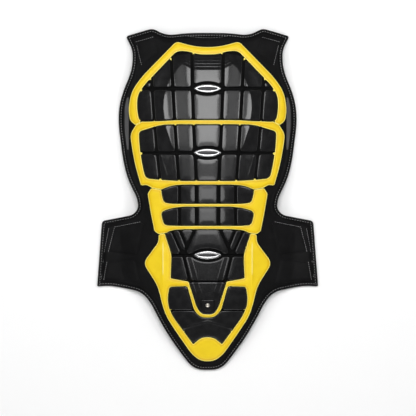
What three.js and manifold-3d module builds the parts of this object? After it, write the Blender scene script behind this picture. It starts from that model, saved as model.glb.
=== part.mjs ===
// A back protector for a rider, lying on a table with its hard plates up and the
// hollow for the wearer's back underneath. X runs across, +Y towards the neck, +Z up.
// Every piece is drawn flat, as seen from above, and is then draped over one curved
// form, so that pieces which lie on each other keep the same curve.

import * as THREE from "three";
import Module from "manifold-3d";

const wasm = await Module();
wasm.setup();

// Driving dimensions, in millimetres

const PANEL_LENGTH = 600; // neck to tail, over the binding
const PANEL_WIDTH = 390; // across the two waist wings, over the binding
const CROWN_HEIGHT = 58; // how far the arch of the back stands off the table

const BINDING_THICKNESS = 1.0; // the tape folded round the panel's edge
const BINDING_WIDTH = 5.5;
const RIM_THICKNESS = 4.0; // the panel where it is pressed flat at its edge
const RIM_WIDTH = 6.5;
const PANEL_THICKNESS = 9.0; // the foam laminate inside that rim
const PANEL_SHOULDER = 3.0; // width of the slope from the rim up to full thickness

const EMBOSS_HEIGHT = 1.6; // pads pressed into the wings and shoulders
const EMBOSS_SLOPE = 3.0;

const FRAME_THICKNESS = 5.0; // the yellow frames
const FRAME_CHAMFER = 1.2;
const PLATE_THICKNESS = 8.5; // the black plates inside them
const PLATE_CHAMFER = 1.4;
const GROOVE_DEPTH = 4.5; // V grooves that divide a plate into tiles
const GROOVE_TOP_WIDTH = 4.6;
const GROOVE_FLOOR_WIDTH = 1.8;

const BADGE_LENGTH = 48.4; // oval rings over the joints between plates
const BADGE_WIDTH = 15.2;
const BADGE_HEIGHT = 9.6;
const BADGE_CHAMFER = 1.0;
const BADGE_SLOT_LENGTH = 32;
const BADGE_SLOT_WIDTH = 5.4;
const BADGE_INSERT_DROP = 1.6; // the insert lies this far below its ring
const BADGE_MOAT = 4.4; // open ring round a badge
const BADGE_END_MOAT = 2.64; // the same ring at the badge's two ends

const SIDE_BAND_WIDTH = 7.6; // grey bands down the flanks
const SIDE_BAND_THICKNESS = 1.4;

const LABEL_THICKNESS = 1.2; // small plain plate at the tip of the tongue
const LABEL_CHAMFER = 0.4;
const STUD_DIAMETER = 7.0;
const STUD_HEIGHT = 2.0;
const STUD_CHAMFER = 0.7;

const FIT_GAP = 0.3; // between pieces that are wrapped or stacked face to face
const SEAT_GAP = 0.7; // under the frames and plates, over the panel's curve
const PLATE_GAP = 0.7; // round each plate, inside its frame
const FRAME_JOINT_GAP = 0.5; // between one frame and the next
const ROW_GAP = 2.0; // between two plates in one window

// How finely curves are drawn

const ARC_STEP = THREE.MathUtils.degToRad(40); // turn of a rounded corner in one segment
const ARCH_ERROR = 0.6; // how far a straight edge may leave the arch that it is laid on
const SHORTEST_EDGE = 0.3;
const SMALLEST_FACE = 0.5;
const CLOSEST_POINTS = 0.05; // points of a loop that lie nearer than this are one point
const STRAIGHTEST_TURN = THREE.MathUtils.degToRad(0.6);
const SHARPEST_MITRE = 0.5; // limits how far an offset loop runs out at a sharp corner
const CUT_OVERRUN = 1.0; // how far a cutting shape runs on past what it cuts
const LARGE_OVAL_POINTS = 20;
const SMALL_OVAL_POINTS = 12;

// How pointed an oval is: 2 is an ellipse, and less is more pointed

const ELLIPSE = 2;
const BADGE_EXPONENT = 1.65;
const SLOT_EXPONENT = 1.9;

// The stack of layers, each height measured from the table at the panel's edge

const PANEL_BASE = BINDING_THICKNESS + FIT_GAP;
const PANEL_TOP = PANEL_BASE + PANEL_THICKNESS;
const SEAT = PANEL_TOP + SEAT_GAP;
const BINDING_HEIGHT = 2 * (BINDING_THICKNESS + FIT_GAP) + RIM_THICKNESS;

const HALF_WIDTH = PANEL_WIDTH / 2;
const HALF_LENGTH = PANEL_LENGTH / 2;

// The arch of the back. up is the place along the length, 1 at the neck and -1 at
// the tail; crown is the height there, a share of CROWN_HEIGHT; span is how far out
// the arch comes down to the table, a share of half the width.
const SPINE = [
  { up: 1.0, crown: 0.44, span: 0.78 },
  { up: 0.8, crown: 0.72, span: 0.8 },
  { up: 0.5, crown: 0.96, span: 0.81 },
  { up: 0.2, crown: 1.0, span: 0.8 },
  { up: -0.1, crown: 0.86, span: 0.79 },
  { up: -0.35, crown: 0.7, span: 0.78 },
  { up: -0.6, crown: 0.52, span: 0.72 },
  { up: -0.8, crown: 0.3, span: 0.58 },
  { up: -1.0, crown: 0.0, span: 0.44 },
];
const LANDING = 0.12; // how softly the arch meets the table

// Outlines of the right half, from the middle of the top round to the middle of the
// bottom. out and up are shares of half the panel's width and length. round is how
// much of its sides a corner's arc takes up, from 0, sharp, to 1.
const PANEL_OUTLINE = [
  { out: 0.181, up: 0.979, round: 1 },
  { out: 0.371, up: 0.964, round: 1 },
  { out: 0.498, up: 1.0062, round: 0.5 },
  { out: 0.74, up: 0.96, round: 0.3 },
  { out: 0.678, up: 0.878, round: 0.9 },
  { out: 0.678, up: 0.8, round: 1 },
  { out: 0.7, up: 0.736, round: 1 },
  { out: 0.766, up: 0.634, round: 1 },
  { out: 0.802, up: 0.545, round: 1 },
  { out: 0.807, up: 0.443, round: 1 },
  { out: 0.786, up: 0.335, round: 1 },
  { out: 0.763, up: 0.222, round: 1 },
  { out: 0.722, up: 0.118, round: 1 },
  { out: 0.637, up: 0.008, round: 1 },
  { out: 0.626, up: -0.052, round: 1 },
  { out: 0.676, up: -0.09, round: 1 },
  { out: 0.956, up: -0.125, round: 0.2 },
  { out: 1.0005, up: -0.51, round: 0.16 },
  { out: 0.885, up: -0.505, round: 1 },
  { out: 0.745, up: -0.52, round: 1 },
  { out: 0.6, up: -0.542, round: 1 },
  { out: 0.517, up: -0.603, round: 1 },
  { out: 0.443, up: -0.699, round: 1 },
  { out: 0.353, up: -0.8, round: 1 },
  { out: 0.234, up: -0.91, round: 1 },
  { out: 0.122, up: -1.0, round: 1 },
];

const FRAME_OUTLINE = [
  { out: 0.1, up: 0.895, round: 1 },
  { out: 0.284, up: 0.928, round: 0.35 },
  { out: 0.6, up: 0.718, round: 0.9 },
  { out: 0.692, up: 0.632, round: 1 },
  { out: 0.716, up: 0.53, round: 1 },
  { out: 0.701, up: 0.464, round: 0.8 },
  { out: 0.65, up: 0.436, round: 0.3 },
  { out: 0.7, up: 0.384, round: 0.9 },
  { out: 0.685, up: 0.31, round: 1 },
  { out: 0.656, up: 0.205, round: 1 },
  { out: 0.602, up: 0.083, round: 0.1 },
  { out: 0.552, up: 0.087, round: 0.6 },
  { out: 0.506, up: 0.071, round: 0.3 },
  { out: 0.542, up: 0.035, round: 0.4 },
  { out: 0.513, up: -0.08, round: 1 },
  { out: 0.48, up: -0.184, round: 0.25 },
  { out: 0.442, up: -0.203, round: 0.5 },
  { out: 0.444, up: -0.25, round: 1 },
  { out: 0.583, up: -0.372, round: 0.5 },
  { out: 0.447, up: -0.51, round: 1 },
  { out: 0.415, up: -0.605, round: 1 },
  { out: 0.375, up: -0.685, round: 1 },
  { out: 0.27, up: -0.79, round: 1 },
  { out: 0.14, up: -0.91, round: 1 },
  { out: 0.06, up: -0.949, round: 1 },
];

// The windows of the frames, from the neck down
const WINDOWS = {
  upper: [
    { out: 0.085, up: 0.852, round: 1 },
    { out: 0.172, up: 0.87, round: 0.8 },
    { out: 0.276, up: 0.874, round: 0.9 },
    { out: 0.345, up: 0.827, round: 0.6 },
    { out: 0.575, up: 0.672, round: 1 },
    { out: 0.633, up: 0.615, round: 1 },
    { out: 0.64, up: 0.54, round: 1 },
    { out: 0.619, up: 0.456, round: 0.8 },
    { out: 0.45, up: 0.459, round: 1 },
    { out: 0.27, up: 0.466, round: 1 },
  ],
  middle: [
    { out: 0.27, up: 0.442, round: 1 },
    { out: 0.42, up: 0.44, round: 1 },
    { out: 0.548, up: 0.415, round: 1 },
    { out: 0.622, up: 0.4, round: 0.8 },
    { out: 0.616, up: 0.31, round: 1 },
    { out: 0.59, up: 0.2, round: 1 },
    { out: 0.562, up: 0.124, round: 0.8 },
    { out: 0.45, up: 0.117, round: 1 },
    { out: 0.27, up: 0.109, round: 1 },
  ],
  waist_high: [
    { out: 0.25, up: 0.088, round: 1 },
    { out: 0.34, up: 0.08, round: 1 },
    { out: 0.424, up: 0.056, round: 0.8 },
    { out: 0.395, up: -0.018, round: 0.8 },
    { out: 0.31, up: -0.025, round: 1 },
  ],
  waist_low: [
    { out: 0.22, up: -0.034, round: 1 },
    { out: 0.32, up: -0.043, round: 1 },
    { out: 0.425, up: -0.069, round: 0.8 },
    { out: 0.395, up: -0.149, round: 0.8 },
    { out: 0.31, up: -0.154, round: 1 },
  ],
  lumbar: [
    { out: 0.2, up: -0.173, round: 1 },
    { out: 0.32, up: -0.178, round: 1 },
    { out: 0.388, up: -0.199, round: 0.7 },
    { out: 0.325, up: -0.322, round: 0.5 },
    { out: 0.334, up: -0.462, round: 0.2 },
    { out: 0.172, up: -0.481, round: 0.12 },
    { out: 0.102, up: -0.624, round: 0.7 },
    { out: 0.058, up: -0.674, round: 1 },
  ],
  tail: [
    { out: 0.062, up: -0.692, round: 1 },
    { out: 0.122, up: -0.65, round: 0.8 },
    { out: 0.184, up: -0.508, round: 0.25 },
    { out: 0.346, up: -0.512, round: 0.35 },
    { out: 0.366, up: -0.6, round: 1 },
    { out: 0.322, up: -0.68, round: 1 },
    { out: 0.13, up: -0.85, round: 0.25 },
    { out: 0.056, up: -0.808, round: 1 },
  ],
};

// The joints between frames, from the middle out past the edge
const FRAME_JOINTS = {
  upper_middle: [
    { out: 0, up: 0.455 },
    { out: 0.58, up: 0.455 },
    { out: 0.655, up: 0.436 },
    { out: 0.75, up: 0.41 },
  ],
  middle_lumbar: [
    { out: 0, up: 0.099 },
    { out: 0.35, up: 0.097 },
    { out: 0.51, up: 0.071 },
    { out: 0.58, up: 0.056 },
  ],
  lumbar_tail: [
    { out: 0, up: -0.19 },
    { out: 0.34, up: -0.193 },
    { out: 0.45, up: -0.2035 },
    { out: 0.56, up: -0.21 },
  ],
};

// Where the plates end and begin inside a window
const PLATE_JOINTS = { upper: 0.652, middle: 0.275, lumbar: -0.325, tongue: -0.482, tail: -0.65 };

// The three long grooves on each side of the back, from the neck to the waist
const LONG_GROOVES = [
  { up: 0.9, inner: 0.143, centre: 0.332, outer: 0.518 },
  { up: 0.652, inner: 0.136, centre: 0.314, outer: 0.502 },
  { up: 0.467, inner: 0.127, centre: 0.299, outer: 0.483 },
  { up: 0.275, inner: 0.114, centre: 0.279, outer: 0.456 },
  { up: 0.11, inner: 0.102, centre: 0.261, outer: 0.428 },
  { up: 0.09, inner: 0.101, centre: 0.252, outer: 0.7 },
  { up: -0.17, inner: 0.098, centre: 0.252, outer: 0.7 },
];

// Where those grooves end at a window's top and bottom, and how far past a plate
// the cut for one runs
const GROOVE_ENDS = {
  upper: { high: 0.88, low: 0.467 },
  middle: { high: 0.44, low: 0.11 },
  waist_high: { high: 0.089, low: -0.025 },
  waist_low: { high: -0.034, low: -0.155 },
};
const GROOVE_REACH = 0.02;

// Straight grooves on the right half of the lumbar and tail plates
const SHORT_GROOVES = {
  plate_7: [
    { fromOut: 0.335, fromUp: -0.165, toOut: 0.219, toUp: -0.335 },
    { fromOut: 0.246, fromUp: -0.165, toOut: 0.183, toUp: -0.3 },
    { fromOut: 0.108, fromUp: -0.165, toOut: 0.193, toUp: -0.3 },
  ],
  plate_8: [{ fromOut: 0.222, fromUp: -0.315, toOut: 0.156, toUp: -0.49 }],
  tail_plate_lower: [
    { fromOut: 0.0, fromUp: -0.7, toOut: 0.1, toUp: -0.715 },
    { fromOut: 0.1, fromUp: -0.715, toOut: 0.225, toUp: -0.785 },
  ],
};

// Badges over the joints of the upper, middle and lumbar plates
const BADGES = [{ up: PLATE_JOINTS.upper }, { up: PLATE_JOINTS.middle }, { up: PLATE_JOINTS.lumbar }];

// Pads pressed into the panel on the right half
const EMBOSSED_PADS = [
  [
    { out: 0.838, up: -0.164, round: 0.2 },
    { out: 0.89, up: -0.305, round: 0.2 },
    { out: 0.642, up: -0.325, round: 0.2 },
    { out: 0.578, up: -0.13, round: 0.2 },
  ],
  [
    { out: 0.903, up: -0.368, round: 0.2 },
    { out: 0.933, up: -0.475, round: 0.2 },
    { out: 0.612, up: -0.49, round: 0.2 },
    { out: 0.66, up: -0.352, round: 0.2 },
  ],
  [
    { out: 0.492, up: 0.954, round: 0.2 },
    { out: 0.642, up: 0.927, round: 0.2 },
    { out: 0.6, up: 0.79, round: 0.3 },
    { out: 0.45, up: 0.87, round: 0.3 },
  ],
];

const LABEL_OUTLINE = [
  { out: 0.056, up: -0.59, round: 0.3 },
  { out: 0.056, up: -0.628, round: 1 },
  { out: 0.03, up: -0.655, round: 1 },
];
const STUD_UP = -0.62;

const SIDE_BAND = { out: 0.733, from: 0.68, to: 0.19 };

const paint = (color, roughness, metalness) =>
  new THREE.MeshStandardMaterial({ color, roughness, metalness });
const FABRIC = paint(0x1c1c1e, 0.85, 0);
const TAPE = paint(0x111113, 0.6, 0);
const GREY_BAND = paint(0x4c4c4e, 0.7, 0);
const YELLOW = paint(0xf4cf1c, 0.45, 0);
const GLOSS_BLACK = paint(0x1a1a1b, 0.25, 0);
const CHROME = paint(0xe6e6e6, 0.12, 1);
const DARK_INSERT = paint(0x3a3a3c, 0.3, 0);
const SATIN_METAL = paint(0x8c8880, 0.35, 1);

// Curves

// A smooth value between the rows of a table that runs from high to low in up.
function between(rows, up, column) {
  const last = rows.length - 1;
  if (up >= rows[0].up) return rows[0][column];
  if (up <= rows[last].up) return rows[last][column];
  const i = rows.findIndex((row) => row.up < up) - 1;
  const [before, a, b, after] = [i - 1, i, i + 1, i + 2].map((k) => rows[THREE.MathUtils.clamp(k, 0, last)]);
  const step = b.up - a.up;
  const share = (up - a.up) / step;
  const slopeA = ((b[column] - before[column]) / (b.up - before.up)) * step;
  const slopeB = ((after[column] - a[column]) / (after.up - a.up)) * step;
  const [s2, s3] = [share ** 2, share ** 3];
  return (
    (2 * s3 - 3 * s2 + 1) * a[column] +
    (s3 - 2 * s2 + share) * slopeA +
    (3 * s2 - 2 * s3) * b[column] +
    (s3 - s2) * slopeB
  );
}

// A straight-line value between rows, for grooves that bend at the plates' joints.
function straightBetween(rows, up, column) {
  const i = Math.max(rows.findIndex((row) => row.up <= up), 1);
  const [a, b] = [rows[i - 1], rows[i]];
  return a[column] + ((up - a.up) / (b.up - a.up)) * (b[column] - a[column]);
}

// Height of the draping form over the table: a parabola across the back that lands
// softly on the table and stays there under the tips of the wings.
function archHeight(x, y) {
  const up = THREE.MathUtils.clamp(y / HALF_LENGTH, -1, 1);
  const crown = between(SPINE, up, "crown") * CROWN_HEIGHT;
  const span = between(SPINE, up, "span") * HALF_WIDTH;
  const rise = 1 - (x / span) ** 2;
  if (rise >= LANDING) return crown * rise;
  return rise <= -LANDING ? 0 : (crown * (rise + LANDING) ** 2) / (4 * LANDING);
}

const place = (row, side = 1) => new THREE.Vector2(side * row.out * HALF_WIDTH, row.up * HALF_LENGTH);

// A closed loop, counterclockwise, through corners with arcs in place of the corners.
function roundedLoop(corners, rounds) {
  const loop = [];
  corners.forEach((corner, i) => {
    const count = corners.length;
    const toBefore = corners[(i + count - 1) % count].clone().sub(corner);
    const toAfter = corners[(i + 1) % count].clone().sub(corner);
    const reach = (Math.min(toBefore.length(), toAfter.length()) / 2) * rounds[i];
    toBefore.normalize();
    toAfter.normalize();
    const turn = Math.PI - Math.acos(THREE.MathUtils.clamp(toBefore.dot(toAfter), -1, 1));
    if (reach === 0 || turn < STRAIGHTEST_TURN) return loop.push(corner.clone());
    const start = corner.clone().addScaledVector(toBefore, reach);
    const radius = reach / Math.tan(turn / 2);
    const centre = corner
      .clone()
      .addScaledVector(toBefore.clone().add(toAfter).normalize(), Math.hypot(radius, reach));
    const way = Math.sign(toBefore.cross(toAfter)) * -1;
    const steps = Math.max(1, Math.ceil(turn / ARC_STEP));
    for (let k = 0; k <= steps; k++)
      loop.push(start.clone().rotateAround(centre, (way * turn * k) / steps));
  });
  const apart = loop.filter((p, i) => p.distanceTo(loop[(i + 1) % loop.length]) > CLOSEST_POINTS);
  return THREE.ShapeUtils.area(apart) < 0 ? apart.reverse() : apart;
}

// The whole outline from the table of its right half.
function mirroredLoop(rows) {
  const left = rows.filter((row) => row.out > 0).reverse();
  return roundedLoop(
    [...rows.map((row) => place(row)), ...left.map((row) => place(row, -1))],
    [...rows, ...left].map((row) => row.round),
  );
}

const sideLoop = (rows, side) =>
  roundedLoop(
    rows.map((row) => place(row, side)),
    rows.map((row) => row.round),
  );

// The same loop moved outwards by a distance, or inwards by a negative one.
function offsetLoop(loop, distance) {
  const count = loop.length;
  return loop.map((point, i) => {
    const before = point.clone().sub(loop[(i + count - 1) % count]).normalize();
    const after = loop[(i + 1) % count].clone().sub(point).normalize();
    const outward = new THREE.Vector2(before.y + after.y, -before.x - after.x).normalize();
    const mitre = outward.dot(new THREE.Vector2(before.y, -before.x));
    return point.clone().addScaledVector(outward, distance / Math.max(mitre, SHARPEST_MITRE));
  });
}

// The same loop moved inwards in small steps. An edge that a step turns round has
// run out, and its corner is dropped.
function shrunkLoop(loop, distance) {
  const steps = Math.ceil(distance);
  let shrunk = loop;
  for (let step = 0; step < steps; step++) {
    const before = shrunk;
    const after = offsetLoop(before, -distance / steps);
    const edgeOf = (points, i) => points[(i + 1) % points.length].clone().sub(points[i]);
    shrunk = after.filter((_, i) => edgeOf(after, i).dot(edgeOf(before, i).normalize()) > SHORTEST_EDGE);
  }
  return shrunk;
}

function rectangleLoop(left, right, low, high) {
  return [
    [left, low],
    [right, low],
    [right, high],
    [left, high],
  ].map(([x, y]) => new THREE.Vector2(x, y));
}

// An oval with slightly pointed ends; at 2 the exponent gives an ellipse.
function ovalLoop(length, width, up, exponent, count) {
  return Array.from({ length: count }, (_, i) => {
    const angle = (2 * Math.PI * i) / count;
    const bent = (value) => Math.sign(value) * Math.abs(value) ** (2 / exponent);
    return new THREE.Vector2(
      (length / 2) * bent(Math.cos(angle)),
      up * HALF_LENGTH + (width / 2) * bent(Math.sin(angle)),
    );
  });
}

// Flat solids

function solidFrom(points, triangles) {
  return new wasm.Manifold(
    new wasm.Mesh({
      numProp: 3,
      vertProperties: new Float32Array(points.flat()),
      triVerts: new Uint32Array(triangles.flat()),
    }),
  );
}

// A closed solid through levels of one loop, each {loop, z}, from the lowest up.
function tiers(levels) {
  const count = levels[0].loop.length;
  const points = levels.flatMap(({ loop, z }) => loop.map((p) => [p.x, p.y, z]));
  const top = (levels.length - 1) * count;
  const triangles = [
    ...THREE.ShapeUtils.triangulateShape(levels[0].loop, []).map(([a, b, c]) => [c, b, a]),
    ...THREE.ShapeUtils.triangulateShape(levels[levels.length - 1].loop, []).map((face) =>
      face.map((k) => k + top),
    ),
  ];
  for (let level = 0; level < levels.length - 1; level++)
    for (let i = 0; i < count; i++) {
      const [a, b] = [level * count + i, level * count + ((i + 1) % count)];
      triangles.push([a, b, b + count], [a, b + count, a + count]);
    }
  return solidFrom(points, triangles);
}

const slab = (loop, low, high) =>
  tiers([
    { loop, z: low },
    { loop, z: high },
  ]);

// A slab whose upper edge is cut back by a slope, inwards and down by given amounts.
function chamferedSlab(loop, height, inwards, down = inwards) {
  const top = shrunkLoop(loop, inwards);
  const foot = offsetLoop(top, inwards);
  return tiers([
    { loop: foot, z: 0 },
    { loop: foot, z: height - down },
    { loop: top, z: height },
  ]);
}

// What is cut away for a window: straight walls that flare out at the upper edge.
const windowCutter = (loop, height, chamfer) =>
  tiers([
    { loop, z: -CUT_OVERRUN },
    { loop, z: height - chamfer },
    { loop: offsetLoop(loop, 2 * chamfer), z: height + chamfer },
  ]);

// A closed ring with one section, a list of {out, z}, carried round a loop.
function ringRound(loop, section) {
  const rims = section.map(({ out }) => offsetLoop(loop, out));
  const points = loop.flatMap((_, i) => section.map(({ z }, k) => [rims[k][i].x, rims[k][i].y, z]));
  const triangles = [];
  loop.forEach((_, i) => {
    const next = (i + 1) % loop.length;
    section.forEach((_, k) => {
      const after = (k + 1) % section.length;
      const [a, b] = [i * section.length + k, next * section.length + k];
      const [c, d] = [next * section.length + after, i * section.length + after];
      triangles.push([a, b, c], [a, c, d]);
    });
  });
  return solidFrom(points, triangles);
}

// A bar of constant width along a chain of points, as a loop.
function barLoop(chain, width) {
  const sideOf = (i) => {
    const along = chain[Math.min(i + 1, chain.length - 1)].clone().sub(chain[Math.max(i - 1, 0)]);
    return new THREE.Vector2(-along.y, along.x).normalize().multiplyScalar(width / 2);
  };
  const left = chain.map((p, i) => p.clone().add(sideOf(i)));
  const right = chain.map((p, i) => p.clone().sub(sideOf(i)));
  const loop = [...left, ...right.reverse()];
  return THREE.ShapeUtils.area(loop) < 0 ? loop.reverse() : loop;
}

// A V groove with a narrow floor, to be cut from the top of a plate.
const grooveCutter = (chain) =>
  tiers([
    { loop: barLoop(chain, GROOVE_FLOOR_WIDTH), z: PLATE_THICKNESS - GROOVE_DEPTH },
    { loop: barLoop(chain, GROOVE_TOP_WIDTH), z: PLATE_THICKNESS },
    { loop: barLoop(chain, GROOVE_TOP_WIDTH), z: PLATE_THICKNESS + CUT_OVERRUN },
  ]);

const union = (solids) => solids.reduce((whole, solid) => whole.add(solid));

// Draping

// How far the arch leaves the straight line between two points of a flat solid.
function archError([x0, y0], [x1, y1]) {
  const errors = [0.25, 0.5, 0.75].map((share) => {
    const straight = (1 - share) * archHeight(x0, y0) + share * archHeight(x1, y1);
    return Math.abs(archHeight(x0 + share * (x1 - x0), y0 + share * (y1 - y0)) - straight);
  });
  return Math.max(...errors);
}

// Of two level triangles that share an edge, the edge is swapped for the other
// diagonal of their four corners where that one follows the arch more closely.
function swapDiagonals(points, triangles) {
  const turn = (a, b, c) =>
    (points[b][0] - points[a][0]) * (points[c][1] - points[a][1]) -
    (points[b][1] - points[a][1]) * (points[c][0] - points[a][0]);
  const isFace = (a, b, c, way) => turn(a, b, c) * Math.sign(way) > SMALLEST_FACE;
  for (let swaps = 1; swaps > 0; ) {
    swaps = 0;
    const owners = new Map();
    triangles.forEach((corners, i) =>
      corners.forEach((a, k) => {
        owners.set(`${a} ${corners[(k + 1) % 3]}`, { i, opposite: corners[(k + 2) % 3] });
      }),
    );
    const done = new Set();
    for (const [shared, { i, opposite: c }] of owners) {
      const [a, b] = shared.split(" ").map(Number);
      const { i: j, opposite: d } = owners.get(`${b} ${a}`);
      if (done.has(i) || done.has(j)) continue;
      if ([b, c, d].some((k) => points[k][2] !== points[a][2])) continue;
      const error = archError(points[a], points[b]);
      if (error < ARCH_ERROR / 4 || archError(points[c], points[d]) > 0.9 * error) continue;
      const way = turn(a, b, c);
      if (!isFace(a, d, c, way) || !isFace(d, b, c, way)) continue;
      triangles[i] = [a, d, c];
      triangles[j] = [d, b, c];
      done.add(i).add(j);
      swaps++;
    }
  }
}

// Splits edges at their middle until each follows the arch.
function splitEdges(points, triangles) {
  swapDiagonals(points, triangles);
  const middles = new Map();
  const middleOf = (a, b) => {
    if (archError(points[a], points[b]) <= ARCH_ERROR) return null;
    const key = a < b ? `${a} ${b}` : `${b} ${a}`;
    if (!middles.has(key)) {
      middles.set(key, points.length);
      points.push(points[a].map((value, k) => (value + points[b][k]) / 2));
    }
    return middles.get(key);
  };
  const split = triangles.flatMap((corners) => {
    const cuts = corners.map((corner, k) => middleOf(corner, corners[(k + 1) % 3]));
    const cut = cuts.filter((middle) => middle !== null).length;
    if (cut === 0) return [corners];
    if (cut === 3) {
      const [a, b, c] = corners;
      const [ab, bc, ca] = cuts;
      return [[a, ab, ca], [ab, b, bc], [ca, bc, c], [ab, bc, ca]];
    }
    // turned so that the first edge is cut, and with two cuts the last one isn't
    const first = cut === 1 ? cuts.findIndex((m) => m !== null) : (cuts.indexOf(null) + 1) % 3;
    const [a, b, c] = [0, 1, 2].map((k) => corners[(first + k) % 3]);
    const [ab, bc] = [cuts[first], cuts[(first + 1) % 3]];
    if (cut === 1) return [[a, ab, c], [ab, b, c]];
    return [[ab, b, bc], [a, ab, bc], [a, bc, c]];
  });
  return split.length === triangles.length ? split : splitEdges(points, split);
}

// A named mesh from a flat solid: lifted to its layer and laid over the arch.
function draped(name, solid, lift, material) {
  const { vertProperties, triVerts, numProp } = solid.getMesh();
  const points = Array.from({ length: vertProperties.length / numProp }, (_, i) =>
    Array.from(vertProperties.slice(i * numProp, i * numProp + 3)),
  );
  const triangles = splitEdges(
    points,
    Array.from({ length: triVerts.length / 3 }, (_, i) => Array.from(triVerts.slice(3 * i, 3 * i + 3))),
  );
  const geometry = new THREE.BufferGeometry();
  const laid = points.flatMap(([x, y, z]) => [x, y, z + lift + archHeight(x, y)]);
  geometry.setAttribute("position", new THREE.Float32BufferAttribute(laid, 3));
  geometry.setIndex(triangles.flat());
  geometry.computeVertexNormals();
  const mesh = new THREE.Mesh(geometry, material);
  mesh.name = name;
  return mesh;
}

// The pieces

const edge = mirroredLoop(PANEL_OUTLINE);

function backPanel() {
  const rim = offsetLoop(edge, -PANEL_BASE);
  const core = shrunkLoop(edge, RIM_WIDTH);
  const parts = [
    slab(rim, 0, RIM_THICKNESS),
    chamferedSlab(core, PANEL_THICKNESS, PANEL_SHOULDER, PANEL_THICKNESS - RIM_THICKNESS),
  ];
  for (const side of [1, -1])
    for (const rows of EMBOSSED_PADS) {
      const height = PANEL_THICKNESS + EMBOSS_HEIGHT;
      parts.push(chamferedSlab(sideLoop(rows, side), height, EMBOSS_SLOPE, EMBOSS_HEIGHT));
    }
  return draped("back_panel", union(parts), PANEL_BASE, FABRIC);
}

// Tape folded over the rim, with the rim held in its open mouth.
function edgeBinding() {
  const [wall, mouth] = [BINDING_THICKNESS, -BINDING_WIDTH];
  const section = [
    { out: mouth, z: 0 },
    { out: 0, z: 0 },
    { out: 0, z: BINDING_HEIGHT },
    { out: mouth, z: BINDING_HEIGHT },
    { out: mouth, z: BINDING_HEIGHT - wall },
    { out: -wall, z: BINDING_HEIGHT - wall },
    { out: -wall, z: wall },
    { out: mouth, z: wall },
  ];
  return draped("edge_binding", ringRound(edge, section), 0, TAPE);
}

function sideBand(name, side) {
  const { out, from, to } = SIDE_BAND;
  const strip = barLoop([place({ out, up: from }, side), place({ out, up: to }, side)], SIDE_BAND_WIDTH);
  const level = shrunkLoop(edge, RIM_WIDTH + PANEL_SHOULDER);
  const field = slab(level, -CUT_OVERRUN, SIDE_BAND_THICKNESS + CUT_OVERRUN);
  return draped(name, slab(strip, 0, SIDE_BAND_THICKNESS).intersect(field), SEAT, GREY_BAND);
}

function frames() {
  let whole = chamferedSlab(mirroredLoop(FRAME_OUTLINE), FRAME_THICKNESS, FRAME_CHAMFER);
  for (const rows of Object.values(WINDOWS))
    whole = whole.subtract(windowCutter(mirroredLoop(rows), FRAME_THICKNESS, FRAME_CHAMFER));
  const jointChains = Object.values(FRAME_JOINTS).map((rows) => [
    ...rows.slice(1).reverse().map((row) => place(row, -1)),
    ...rows.map((row) => place(row)),
  ]);
  // each joint parts what lies above it from what lies below
  const above = jointChains.map((chain) => {
    const raised = chain.map((p) => p.clone().add(new THREE.Vector2(0, FRAME_JOINT_GAP / 2)));
    const field = rectangleLoop(-PANEL_WIDTH, PANEL_WIDTH, raised[0].y, PANEL_LENGTH);
    return slab([field[0], ...raised, ...field.slice(1)], -CUT_OVERRUN, FRAME_THICKNESS + CUT_OVERRUN);
  });
  const aboveAndGap = above.map((solid) => solid.translate([0, -FRAME_JOINT_GAP, 0]));
  return [
    draped("frame_upper", whole.intersect(above[0]), SEAT, YELLOW),
    draped("frame_middle", whole.intersect(above[1]).subtract(aboveAndGap[0]), SEAT, YELLOW),
    draped("frame_lumbar", whole.intersect(above[2]).subtract(aboveAndGap[1]), SEAT, YELLOW),
    draped("frame_tail", whole.subtract(aboveAndGap[2]), SEAT, YELLOW),
  ];
}

// The part of a window's plate that lies in a rectangle, with chamfered edges.
const plateWithin = (window, field) =>
  chamferedSlab(offsetLoop(mirroredLoop(window), -PLATE_GAP), PLATE_THICKNESS, PLATE_CHAMFER).intersect(
    tiers([
      { loop: field, z: -CUT_OVERRUN },
      { loop: field, z: PLATE_THICKNESS - PLATE_CHAMFER },
      { loop: offsetLoop(field, -PLATE_CHAMFER), z: PLATE_THICKNESS },
    ]),
  );

// The stretch of a plate between two places along the back, without what the
// badges and grooves take out of it.
function plate(name, window, high, low, grooves, badge) {
  const [bottom, top] = [low * HALF_LENGTH + ROW_GAP / 2, high * HALF_LENGTH - ROW_GAP / 2];
  let solid = plateWithin(window, rectangleLoop(-PANEL_WIDTH, PANEL_WIDTH, bottom, top));
  for (const chain of grooves) solid = solid.subtract(grooveCutter(chain));
  if (badge) {
    const [length, width] = [BADGE_LENGTH + 2 * BADGE_END_MOAT, BADGE_WIDTH + 2 * BADGE_MOAT];
    const moat = ovalLoop(length, width, badge.up, ELLIPSE, LARGE_OVAL_POINTS);
    solid = solid.subtract(slab(moat, -CUT_OVERRUN, PLATE_THICKNESS + CUT_OVERRUN));
  }
  return draped(name, solid, SEAT, GLOSS_BLACK);
}

// The long grooves where they cross a stretch of the back, on both sides.
function longGrooves(high, low) {
  return ["inner", "centre", "outer"].flatMap((column) =>
    [1, -1].map((side) =>
      [
        { out: straightBetween(LONG_GROOVES, high, column), up: high + GROOVE_REACH },
        { out: straightBetween(LONG_GROOVES, low, column), up: low - GROOVE_REACH },
      ].map((row) => place(row, side)),
    ),
  );
}

const shortGrooves = (name) =>
  SHORT_GROOVES[name].flatMap(({ fromOut, fromUp, toOut, toUp }) =>
    [1, -1].map((side) => [
      place({ out: fromOut, up: fromUp }, side),
      place({ out: toOut, up: toUp }, side),
    ]),
  );

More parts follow.
